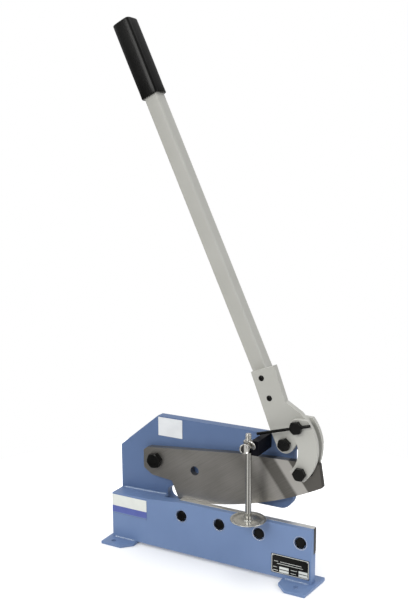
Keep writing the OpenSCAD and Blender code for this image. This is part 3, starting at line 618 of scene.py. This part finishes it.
def threaded(place, axis, length, radius, pitch, depth, sides=32, perTurn=10):
    # radius less a wave that climbs one pitch in each turn
    axis, side, other = basis(axis)
    steps = max(4, int(length / pitch * perTurn))
    along = np.linspace(0, length, steps + 1)[:, None]
    theta = around(sides)[None, :]
    wave = np.abs(((along / pitch - theta / (2 * math.pi)) % 1.0) * 2 - 1)
    ends = np.clip(np.minimum(along, length - along) / pitch, 0, 1)
    reach = radius - depth * (wave * ends + (1 - ends))
    rings = place + along[..., None] * axis + reach[..., None] * (
        np.cos(theta)[..., None] * side + np.sin(theta)[..., None] * other)
    return shell(rings)


def roundSquare(halfWide, halfDeep, corner, perCorner=8):
    # four quarter circles, one at each corner
    quarter = np.linspace(0, math.pi / 2, perCorner)
    arcs = []
    for k, (signX, signY) in enumerate([(1, 1), (-1, 1), (-1, -1), (1, -1)]):
        angle = quarter + k * math.pi / 2
        arcs.append(np.stack([signX * (halfWide - corner) + corner * np.cos(angle),
                              signY * (halfDeep - corner) + corner * np.sin(angle)], -1))
    return np.concatenate(arcs)


def slab(left, right, bottom, top, front, back, corner, edge=0.15):
    # a thin plate with round corners whose front edge is eased
    halfWide, halfHigh = (right - left) / 2, (top - bottom) / 2
    rings = []
    for depth, inset in ((back, 0.0), (front + edge, 0.0), (front, edge)):
        flat = roundSquare(halfWide - inset, halfHigh - inset, max(corner - inset, 0.05), 5)
        rings.append(np.stack([(left + right) / 2 + flat[:, 0], np.full(len(flat), depth),
                               (bottom + top) / 2 + flat[:, 1]], -1))
    return shell(rings)


# plates and feet
plateValues = {"edge": 0.7, "footEdge": 0.8}
basePlate = roundedCopy("basePlate", plateValues["edge"], bluePaint)
roundedCopy("spacerBlock", plateValues["edge"], bluePaint)
roundedCopy("cFrame", plateValues["edge"], frameBlueShaded)
for footName in ("leftFoot", "rightFoot"):
    roundedCopy(footName, plateValues["footEdge"], bluePaint)

# counterbores
boreValues = {
    "firstX": 177.5, "pitch": 90, "z": 82.5, "radius": 12.2,
    # faces this near the bore's wall are bare metal
    "near": 0.3,
    # the ground rim's profile, from the wall over its rounded edge and flat to the hidden back
    "rim": [(-0.03, 1.8), (-0.03, 0.9), (0.95, 0.1), (1.615, -0.06), (1.9, -0.06), (1.9, 0.3), (0.3, 1.8)],
}
borePlaces = [(boreValues["firstX"] + boreValues["pitch"] * k, boreValues["z"]) for k in range(4)]


def bareBores(piece, material):
    piece.data.materials.append(material)
    for face in piece.data.polygons:
        x, _, z = np.array(face.center) / mm - plateCorner
        reach = min(math.hypot(x - boreX, z - boreZ) for boreX, boreZ in borePlaces)
        if abs(face.normal.y) < 0.5 and reach < boreValues["radius"] + boreValues["near"]:
            face.material_index = 1


def makeBoreRims(bore):
    profile = [[bore["radius"] + outward, deep] for outward, deep in bore["rim"]]
    rims = [lathe(profile, [x, 0, z], backward, 72, closed=True) for x, z in borePlaces]
    addPiece("boreRims", rims, bareSteel, body="frame", sharp=25)


bareBores(basePlate, bareSteel)
makeBoreRims(boreValues)

# welds
weldValues = {
    "leg": 3.4, "pitch": 4.6,
    # the bead's size wanders down to the share least, dips by ripple and tapers over these legs
    "least": 0.72, "draws": 14, "ripple": 0.20, "sway": 5, "taper": 1.2,
    # x and z of the bead along the ledge, and from and to of the beads on the feet
    "ledge": [(5, 102.1), (100, 104.5), (118.0, 106.3)], "feet": [(4, 59), (414, 467)],
    "ledgeSeed": 3, "feetSeeds": (5, 8),
}


def weldBead(path, seed):
    # quarter-round profile carried along the path, its size rippling once each pitch
    weld, path = weldValues, np.asarray(path, float)
    lengths = np.concatenate([[0], np.cumsum(np.linalg.norm(np.diff(path, axis=0), axis=1))])
    far = lengths[-1]
    distance = np.linspace(0, far, int(far / (weld["pitch"] / 6)))
    centre = np.stack([np.interp(distance, lengths, path[:, k]) for k in range(3)], -1)
    random = np.random.default_rng(seed)
    draws = random.uniform(weld["least"], 1.0, weld["draws"])
    slow = np.interp(distance, np.linspace(0, far, weld["draws"]), draws)
    wave = np.abs(np.sin(math.pi * distance / weld["pitch"] + slow * weld["sway"]))
    ripple = 1 - weld["ripple"] + weld["ripple"] * wave
    toEnd = np.minimum(distance, far - distance) / (weld["leg"] * weld["taper"])
    size = weld["leg"] * slow * ripple * np.sqrt(np.clip(toEnd, 0.02, 1))
    quarter = np.linspace(0, math.pi / 2, 9)
    profile = np.concatenate([[[0.0, 0.0]], np.stack([np.cos(quarter), np.sin(quarter)], -1)])
    rings = centre[:, None] + size[:, None, None] * (
        profile[None, :, 0, None] * -backward + profile[None, :, 1, None] * upward)
    return shell(rings)


def makeWelds(weld):
    frontOfFrame = nodeBox("c_frame")[0][1]
    ledge = weldBead([[x, frontOfFrame, z] for x, z in weld["ledge"]], weld["ledgeSeed"])
    addPiece("ledgeWeld", [ledge], weldPaint, sharp=60)
    feet = [weldBead([[start, 0, 0], [end, 0, 0]], seed)
            for (start, end), seed in zip(weld["feet"], weld["feetSeeds"])]
    addPiece("footWelds", feet, weldPaint, sharp=60)


makeWelds(weldValues)
print("plates, feet and welds made")

# blades
bladeValues = {"edge": 0.4}
roundedCopy("lowerBlade", bladeValues["edge"], bedSteel)
roundedCopy("upperBlade", bladeValues["edge"], bladeSteel)

boltValues = {"corner": 10.9, "height": 6.5, "seat": 7.0, "turns": (0, 17, 34, 51)}
bladeBolts = [
    hexHead(x, z, boltValues["seat"], boltValues["height"], boltValues["corner"], turn)
    for (x, z), turn in zip(borePlaces, boltValues["turns"])
]
addPiece("bladeBolts", bladeBolts, blackOxide, node="lower_blade_bolts")
print("blades made")

# pivot and link bolts with their nuts
pinFit = {
    # gaps to the solid's front and back, and round the shank in a nut
    "seat": 0.15, "endGap": 0.05, "boreFit": 0.05,
    # the thread's length, its depth as a share of the pitch, and the shank's lap on head and thread
    "thread": 14.5, "depthShare": 0.5, "lap": 2.0,
}
pinValues = {
    "bladePivot": {"height": 12.3, "corner": 17.2, "shank": 10.0, "pitch": 2.5, "turn": 12, "nutTurn": 12},
    "leverPivot": {"height": 9.8, "corner": 13.7, "shank": 8.0, "pitch": 2.0, "turn": 20, "nutTurn": 20},
    "upperLink": {"height": 9.8, "corner": 13.7, "shank": 8.0, "pitch": 2.0, "turn": 74, "nutTurn": 0},
    "lowerLink": {"height": 9.8, "corner": 13.7, "shank": 6.0, "pitch": 1.75, "turn": 0, "nutTurn": 0},
}


def makePin(name, pin):
    low, high = nodeBox(nodeFor(name))
    x, _, z = nodeMiddle(nodeFor(name))
    seatY = low[1] + pin["height"] + pinFit["seat"]
    threadY = high[1] - pinFit["thread"]
    shells = [
        hexHead(x, z, seatY, pin["height"], pin["corner"], pin["turn"]),
        rod([x, seatY - pinFit["lap"], z], backward, pin["shank"], threadY - seatY + 2 * pinFit["lap"], 48),
        threaded([x, threadY, z], backward, pinFit["thread"] - pinFit["endGap"], pin["shank"], pin["pitch"],
                 pin["pitch"] * pinFit["depthShare"]),
    ]
    addPiece(name, shells, blackOxide)


def makeNut(name, pin):
    low, high = nodeBox(nodeFor(name))
    x, _, z = nodeMiddle(nodeFor(name))
    head = hexHead(x, z, low[1], high[1] - low[1], pin["corner"], pin["nutTurn"], front=1,
                   bore=pin["shank"] + pinFit["boreFit"])
    addPiece(name, [head], blackOxide)


for pinName, pinValue in pinValues.items():
    makePin(pinName + "Bolt", pinValue)
for pinName, pinValue in pinValues.items():
    makeNut(pinName + "Nut", pinValue)
print("pins and nuts made")

# lever
leverValues = {
    "headEdge": 1.0, "tubeStart": 74.0, "tubeEnd": 897.9, "half": 16.0, "corner": 3.6, "wall": 3.0,
    # the open end is eased; the closed end is hidden in the grip
    "ease": 0.4, "easeCorner": 0.3, "innerCorner": 1.4, "endWall": 6,
}


def leverRings(outlines):
    # outlines square to the lever, with distances along it
    middleY = leverFrame["tubeMiddleY"]
    return [onLever(np.full(len(flat), along), flat[:, 0], middleY + flat[:, 1]) for along, flat in outlines]


def makeTube(lever):
    start, end, half, corner = lever["tubeStart"], lever["tubeEnd"], lever["half"], lever["corner"]
    inner, innerCorner, ease = half - lever["wall"], lever["innerCorner"], lever["ease"]
    steps = [
        (end - lever["endWall"], inner, innerCorner), (start + ease, inner, innerCorner),
        (start, inner + ease, innerCorner + ease), (start, half - ease, corner - lever["easeCorner"]),
        (start + ease, half, corner), (end, half, corner),
    ]
    rings = leverRings([(along, roundSquare(size, size, round)) for along, size, round in steps])
    addPiece("leverTube", [shell(rings)], greyPaint)


roundedCopy("leverHead", leverValues["headEdge"], greyPaint)
makeTube(leverValues)

gripValues = {
    "start": 751.0, "end": 916.9, "halfWide": 22.4, "halfDeep": 21.4,
    # corners get sharper with a higher power; the faces bulge by this share
    "power": 9.0, "bulge": 0.085,
    # the top's rounding, the lower lip's, and how much fuller the ends are than the middle
    "round": 2.2, "lip": 1.4, "swell": 0.3,
    # clearance round the tube, the mouth's height and the closed end
    "fit": 0.1, "mouth": 0.6, "endWall": 8, "sides": 120,
}


def pillowSquare(halfWide, halfDeep, power, bulge):
    # |x| ^ power + |y| ^ power = 1, with faces that bulge in the middle
    cosine, sine = circle(gripValues["sides"], math.pi / gripValues["sides"])
    x = np.sign(cosine) * np.abs(cosine) ** (2 / power)
    y = np.sign(sine) * np.abs(sine) ** (2 / power)
    return np.stack([halfWide * x * (1 - bulge * y ** 2), halfDeep * y * (1 - bulge * x ** 2)], -1)


def makeGrip(grip):
    # inner wall, rolled lower lip, sides hollow by the swell, and a rounded top
    start, end, lip, top = grip["start"], grip["end"], grip["lip"], grip["round"]
    bore = leverValues["half"] + grip["fit"]
    steps = [(end - grip["endWall"], bore, bore), (start + grip["mouth"], bore, bore)]
    side = end - top - start - lip
    outer = [(start + lip * (1 - math.cos(angle)), lip * (1 - math.sin(angle)))
             for angle in np.linspace(0, math.pi / 2, 6)]
    outer += [(start + lip + side * share, grip["swell"] * (1 - math.sin(share * math.pi)))
              for share in np.linspace(0.1, 1, 10)]
    outer += [(end - top + top * math.sin(angle), top * (1 - math.cos(angle)) + grip["swell"])
              for angle in np.linspace(0.2, math.pi / 2, 7)]
    steps += [(along, grip["halfWide"] - inset, grip["halfDeep"] - inset) for along, inset in outer]
    rings = leverRings([
        (along, pillowSquare(wide, deep, grip["power"], grip["bulge"])) for along, wide, deep in steps])
    addPiece("leverGrip", [shell(rings)], gripVinyl, node="grip", sharp=50)


makeGrip(gripValues)

tubeBoltValues = {
    "along": (95.0, 137.5), "across": 5.5, "head": 5.9, "rise": 1.95, "shank": 4.0,
    # the dome ends at this angle, at the socket: radius and depth of its mouth, corner and floor
    "domeTo": 1.25, "socket": [[2.6, 0.08], [2.4, 1.4], [0.3, 1.5]],
    "headLap": 0.4, "threadLap": 0.2, "pitch": 1.25, "depth": 0.6,
    "nutCorner": 7.5, "nutBore": 4.05, "nutTurn": 30,
}


def makeTubeBolts(bolt):
    bolts, nuts = [], []
    (_, frontY, _), (_, backY, _) = nodeBox("tube_bolts")
    (_, nutFront, _), (_, nutBack, _) = nodeBox("tube_nuts")
    rise, shank = bolt["rise"], bolt["shank"]
    threadY = frontY + rise + bolt["threadLap"]
    head = dome(bolt["head"], rise, bolt["domeTo"], 8)
    profile = [[shank, rise + bolt["headLap"]]] + head + bolt["socket"]
    for along in bolt["along"]:
        x, _, z = onLever(along, bolt["across"], 0.0)
        bolts.append(lathe(profile, [x, frontY, z], backward, 36))
        bolts.append(threaded([x, threadY, z], backward, backY - threadY - pinFit["endGap"], shank,
                              bolt["pitch"], bolt["depth"]))
        nuts.append(hexHead(x, z, nutFront, nutBack - nutFront, bolt["nutCorner"], bolt["nutTurn"], front=1,
                            bore=bolt["nutBore"]))
    addPiece("tubeBolts", bolts, blackOxide)
    addPiece("tubeNuts", nuts, blackOxide)


makeTubeBolts(tubeBoltValues)
print("lever made")

# links
linkValues = {"edge": 1.3}
for linkName in ("frontLink", "rearLink"):
    roundedCopy(linkName, linkValues["edge"], greyPaint, segments=4)

# the rod's slope in degrees, its reach to either side of the bolt, and the rounding of its ends
lockValues = {"slope": 16.0, "left": 86.0, "right": 31.0, "radius": 2.95, "tip": 1.2}


def makeLockRod(lock):
    slope = math.radians(lock["slope"])
    direction = np.array([math.cos(slope), 0, math.sin(slope)])
    boltX, _, boltZ = nodeMiddle("upper_link_bolt")
    middle = np.array([boltX, nodeMiddle("lock_rod")[1], boltZ])
    tip = [[lock["radius"] - lock["tip"] * (1 - math.sin(angle)), lock["tip"] * (1 - math.cos(angle))]
           for angle in np.linspace(0, math.pi / 2, 6)]
    profile = roundedEnds(tip, lock["left"] + lock["right"])
    turned = lathe(profile, middle - lock["left"] * direction, direction, 32)
    addPiece("lockRod", [turned], blackOxide)


makeLockRod(lockValues)
print("links made")

# hold-down
holdX, holdY, _ = nodeMiddle("hold_down_rod")
holdValues = {
    "radius": 6.15, "threadFrom": 263.0, "pitch": 1.75, "depth": 0.9,
    # the plain part's chamfer, and how far the thread starts inside it
    "chamfer": 0.6, "lap": 0.5,
}


def makeHoldRod(hold):
    low, high = nodeBox("hold_down_rod")
    radius, plain, chamfer = hold["radius"], hold["threadFrom"] - low[2], hold["chamfer"]
    profile = [[radius, 0], [radius, plain], [radius - chamfer, plain + chamfer]]
    length = high[2] - hold["threadFrom"] + hold["lap"] - pinFit["endGap"]
    shells = [
        lathe(profile, [holdX, holdY, low[2]], upward, 40),
        threaded([holdX, holdY, hold["threadFrom"] - hold["lap"]], upward, length, radius, hold["pitch"],
                 hold["depth"], 40, 8),
    ]
    addPiece("holdDownRod", shells, nickelPlate)


discValues = {
    "radius": 36.5, "flatShare": 0.72, "rise": 3.0, "thick": 2.5, "rim": 1.2,
    # the underside lies a hair higher than the solid's, and the upper side rises a hair less
    "lift": 0.02, "sink": 0.05, "core": 0.3,
    # the hub's foot, shoulder and top: radius past the hub's, and height
    "hub": 9.0, "hubSteps": [(1.5, 0.02), (0.0, 0.5), (-0.4, 1.3)], "hubTop": 1.35,
}


def makeDisc(disc):
    # a flat middle, then a brim that rises smoothly, with a round rim
    outer, rise, thick, rim = disc["radius"], disc["rise"], disc["thick"], disc["rim"]
    flat = outer * disc["flatShare"]
    shares = np.linspace(0, 1, 9)
    under = [[flat + (outer - flat) * k, disc["lift"] + rise * k * k * (3 - 2 * k)] for k in shares]
    edge = [[outer - rim + rim * math.cos(angle), rise + thick / 2 + thick / 2 * math.sin(angle)]
            for angle in np.linspace(-1.2, 1.4, 7)]
    above = [[flat + (outer - rim - flat) * k, thick + (rise - disc["sink"]) * k * k * (3 - 2 * k)]
             for k in shares[::-1]]
    hub = [[disc["hub"] + wider, thick + height] for wider, height in disc["hubSteps"]]
    profile = [[disc["core"], disc["lift"]]] + under[:-1] + edge + above[1:] + hub
    profile.append([disc["core"], thick + disc["hubTop"]])
    turned = lathe(profile, [holdX, holdY, nodeBox("hold_down_disc")[0][2]], upward, 96)
    addPiece("holdDownDisc", [turned], satinNickel, sharp=50)


collarValues = {
    "radius": 9.95, "bevel": 0.8, "boreFit": 0.1, "boreBevel": 0.5, "skin": 0.02,
    # the stud starts inside the collar and ends short of the node's end
    "stud": 5, "studLap": 1.2, "studEnd": 0.2, "bracketEdge": 0.8,
}
collarLow, collarHigh = nodeBox("clamp_collar")
studZ = (collarLow[2] + collarHigh[2]) / 2


def makeCollar(collar):
    radius, bevel, skin = collar["radius"], collar["bevel"], collar["skin"]
    bore, boreBevel = holdValues["radius"] + collar["boreFit"], collar["boreBevel"]
    lower = [[bore, boreBevel], [bore + boreBevel, skin], [radius - bevel, skin], [radius, bevel]]
    profile = roundedEnds(lower, collarHigh[2] - collarLow[2])
    studX = holdX + radius - collar["studLap"]
    shells = [
        lathe(profile, [holdX, holdY, collarLow[2]], upward, 56, closed=True),
        rod([studX, holdY, studZ], [1, 0, 0], collar["stud"], collarHigh[0] - studX - collar["studEnd"], 40),
    ]
    addPiece("clampCollar", shells, nickelPlate)


makeHoldRod(holdValues)
makeDisc(discValues)
makeCollar(collarValues)
roundedCopy("holdDownBracket", collarValues["bracketEdge"], bracketBlack)

wingValues = {
    # degrees to the right of straight ahead, and the ears' slope
    "swing": 25.0, "tilt": 30.0,
    # the hub from foot to crown: radius, and distance from the collar
    "hub": [(4.35, 0.1), (4.95, 1.1), (4.95, 10.65), (4.05, 12.15), (3.2, 12.9), (0.3, 12.95)],
    # the screw starts this far from the rod and ends this far from the collar
    "shank": 2.95, "pitch": 1.0, "depth": 0.4, "from": 0.1, "to": 1.1,
    # the ears: radius, thickness, distances from the axis and the collar, and degrees each is bent
    "ear": 10.4, "thick": 3.9, "reach": 8.5, "ahead": 9.15, "turns": (0.0, -48.0),
    # an ear's sunk face, rim and back: distance in from the edge, and share of the thickness
    "rim": [
        (10.2, 0.66), (2.8, 0.70), (2.0, 0.88), (1.1, 1.0), (0.3, 0.85), (0.0, 0.5), (0.5, 0.12), (1.6, 0.0),
        (10.2, 0.0),
    ],
}


def makeWingScrew(wing):
    swing, tilt = math.radians(wing["swing"]), math.radians(wing["tilt"])
    ahead = np.array([math.sin(swing), -math.cos(swing), 0])
    across = np.array([math.cos(swing), math.sin(swing), 0])
    rodPoint = np.array([holdX, holdY, studZ])
    collar, inner = collarValues["radius"], holdValues["radius"]
    shells = [
        lathe([[radius, collar + along] for radius, along in wing["hub"]], rodPoint, ahead, 40),
        threaded(rodPoint + ahead * (inner + wing["from"]), ahead, collar - inner + wing["to"],
                 wing["shank"], wing["pitch"], wing["depth"]),
    ]
    earProfile = [[wing["ear"] - inset, wing["thick"] * share] for inset, share in wing["rim"]]
    for side, turn in zip((-1, 1), wing["turns"]):
        spoke = side * (across * math.cos(tilt) + upward * math.sin(tilt))
        angle = math.radians(turn)
        face = ahead * math.cos(angle) + spoke * math.sin(angle)
        middle = rodPoint + ahead * (collar + wing["ahead"]) + spoke * wing["reach"]
        shells.append(lathe(earProfile, middle, face, 48))
    addPiece("wingScrew", shells, nickelPlate, sharp=50)


makeWingScrew(wingValues)

screwValues = {
    # half of the distance between the two, and the head's seat from the node's back
    "halfPitch": 5.6, "seat": 5.2, "height": 5.1, "corner": 5.3, "turn": 30,
    "shank": 4, "length": 34, "frontGap": 0.1,
}


def makeBracketScrews(screw):
    (_, frontY, _), (_, backY, _) = nodeBox("bracket_screws")
    x, _, middleZ = nodeMiddle("bracket_screws")
    shells = []
    for side in (-1, 1):
        z = middleZ + side * screw["halfPitch"]
        shells.append(hexHead(x, z, backY - screw["seat"], screw["height"], screw["corner"], screw["turn"],
                              front=1))
        shells.append(rod([x, frontY + screw["frontGap"], z], backward, screw["shank"], screw["length"], 32))
    addPiece("bracketScrews", shells, blackOxide)


makeBracketScrews(screwValues)
print("hold-down made")

# plates and panels
# print stands proud of its surface by height and goes into it by sunk
printValues = {"height": 0.06, "sunk": 0.3, "edge": 0.02}


def makePanel(name, corner, material):
    low, high = nodeBox(nodeFor(name))
    plate = slab(low[0], high[0], low[2], high[2], low[1], high[1], corner)
    addPiece(name, [plate], material)
    return low, high


def printed(left, right, bottom, top, surface, corner=0.3):
    front, back = surface - printValues["height"], surface + printValues["sunk"]
    return slab(left, right, bottom, top, front, back, corner, printValues["edge"])


ratingValues = {
    "corner": 1.4, "border": 1.1, "inset": 0.9,
    # shares from left and top; plain bars stand where small print would be
    "fieldColumns": [(0.22, 0.47), (0.73, 0.96)], "fieldRows": [(0.62, 0.75), (0.79, 0.92)],
    "bars": [
        (0.08, 0.19, 0.36), (0.24, 0.80, 0.36), (0.16, 0.84, 0.47), (0.06, 0.16, 0.67), (0.06, 0.18, 0.84),
        (0.52, 0.69, 0.67), (0.52, 0.66, 0.84),
    ],
    "barHeight": 0.025,
}


def makeRatingPlate(plate):
    low, high = makePanel("ratingPlate", plate["corner"], plateBlack)
    width, surface = plate["border"], low[1]
    left, right = low[0] + plate["inset"], high[0] - plate["inset"]
    bottom, top = low[2] + plate["inset"], high[2] - plate["inset"]
    areas = [(left, right, top - width, top), (left, right, bottom, bottom + width),
             (left, left + width, bottom, top), (right - width, right, bottom, top)]
    spanX, spanZ = high[0] - low[0], high[2] - low[2]
    shares = [(*column, *row) for column in plate["fieldColumns"] for row in plate["fieldRows"]]
    shares += [(start, end, down, down + plate["barHeight"]) for start, end, down in plate["bars"]]
    for start, end, upper, lower in shares:
        areas.append((low[0] + start * spanX, low[0] + end * spanX, high[2] - lower * spanZ,
                      high[2] - upper * spanZ))
    prints = [printed(*area, surface) for area in areas]
    addPiece("ratingPrint", prints, printCream, body="frame")


# the shank is as long as its radius; the dome ends at an angle in radians
rivetValues = {"head": 1.9, "rise": 0.7, "domeTo": 1.4, "inset": 1.92, "lap": 0.02, "shank": 1.2}


def makeRivets(rivet):
    low, high = nodeBox("rating_rivets")
    head, rise, shank, inset = rivet["head"], rivet["rise"], rivet["shank"], rivet["inset"]
    profile = [[shank, shank], [head, rise + rivet["lap"]]] + dome(head, rise, rivet["domeTo"], 7)
    rivets = [
        lathe(profile, [x, low[1], z], backward, 24)
        for x in (low[0] + inset, high[0] - inset)
        for z in (low[2] + inset, high[2] - inset)
    ]
    addPiece("ratingRivets", rivets, zincPlate)


panelValues = {
    "corner": 0.8, "inset": 0.2,
    # the line and the band, each from and to as shares of the panel's height
    "shares": (0.04, 0.065, 0.10, 0.42), "whiteCorner": 0.5, "stripCorner": 0.2,
}


def makePanels(panel):
    low, high = makePanel("leftPanel", panel["corner"], bluePaint)
    left, right, surface = low[0] + panel["inset"], high[0] - panel["inset"], low[1]
    lineLow, lineTop, bandLow, bandTop = [low[2] + share * (high[2] - low[2]) for share in panel["shares"]]
    prints = {
        "leftPanelWhite": (bandTop, high[2] - panel["inset"], panel["whiteCorner"], printCream),
        "leftPanelLine": (lineLow, lineTop, panel["stripCorner"], printLine),
        "leftPanelBand": (bandLow, bandTop, panel["stripCorner"], printBlue),
    }
    for name, (bottom, top, corner, material) in prints.items():
        strip = printed(left, right, bottom, top, surface, corner)
        addPiece(name, [strip], material, body="frame")
    makePanel("armPanel", panel["corner"], printWhite)


makeRatingPlate(ratingValues)
makeRivets(rivetValues)
makePanels(panelValues)
print("plates made")

# nodes that keep their solids
keptNodes = {
    "blade_bush": bronzeBush, "lever_bush": bronzeBush,
    "blade_pivot_washer": zincPlate, "lever_pivot_washers": zincPlate,
}
for keptNode, keptMaterial in keptNodes.items():
    keptMesh = frame["nodes"][keptNode].data
    keptMesh.materials.clear()
    keptMesh.materials.append(keptMaterial)

# floor
floorValues = {
    # metres, the sheet lying just under the feet
    "reach": 0.85, "drop": 0.0004, "rings": 6, "sides": 72, "tone": (0.86, 0.865, 0.87), "darker": 0.99,
    # the sheet's own light grows from least at near to full at far
    "near": 0.1, "far": 0.75, "least": 0.12, "glow": 0.9,
    # the mirrored room turns round this x
    "middleX": 0.11,
}


def makeFloorPaper(sheet):
    dark = tuple(tone * sheet["darker"] for tone in sheet["tone"])
    paper = paint("floorPaper", dark, sheet["tone"], (0.8, 0.9), slow=3, fine=300, bump=0.02)
    tree = paper.node_tree
    shader = tree.nodes["Principled BSDF"]
    where = coordinates(tree)
    far = addNode(tree, "VectorMath", {0: where}, operation="LENGTH")
    glow = mapped(tree, far.outputs["Value"], sheet["near"], sheet["far"], sheet["least"],
                  kind="SMOOTHSTEP")
    tree.links.new(glow, shader.inputs["Emission Color"])
    shader.inputs["Emission Strength"].default_value = sheet["glow"]
    # mirrors see the room's bright and dark strips carried on over the floor
    moved = addNode(tree, "VectorMath", {0: where, 1: (-sheet["middleX"], 0, 0)})
    strips = addNode(tree, "Emission", {"Color": radialRamp(tree, moved.outputs[0], roomValues["turns"])})
    either = mixByRay(tree, "Is Glossy Ray", shader.outputs[0], strips.outputs[0])
    tree.links.new(either, tree.nodes["Material Output"].inputs["Surface"])
    return paper


def makeFloor(sheet):
    # a round pale sheet of rings round a centre point
    count, sides = sheet["rings"], sheet["sides"]
    cosine, sine = circle(sides)
    reach = np.linspace(0, sheet["reach"], count + 1)[1:, None]
    level = -sheet["drop"]
    rings = np.stack([reach * cosine, reach * sine, np.full((count, sides), level)], -1).reshape(-1, 3)
    points = np.concatenate([rings, [[0, 0, level]]])
    here = np.arange(sides)
    middle = np.stack([here, (here + 1) % sides, np.full_like(here, len(rings))], -1).tolist()
    faces = [face[::-1] for face in ringFaces(count, sides, False)] + middle
    mesh = bpy.data.meshes.new("floor")
    mesh.from_pydata(points.tolist(), [], faces)
    mesh.materials.append(makeFloorPaper(sheet))
    floor = newObject("floor", mesh)


makeFloor(floorValues)
print("floor made")
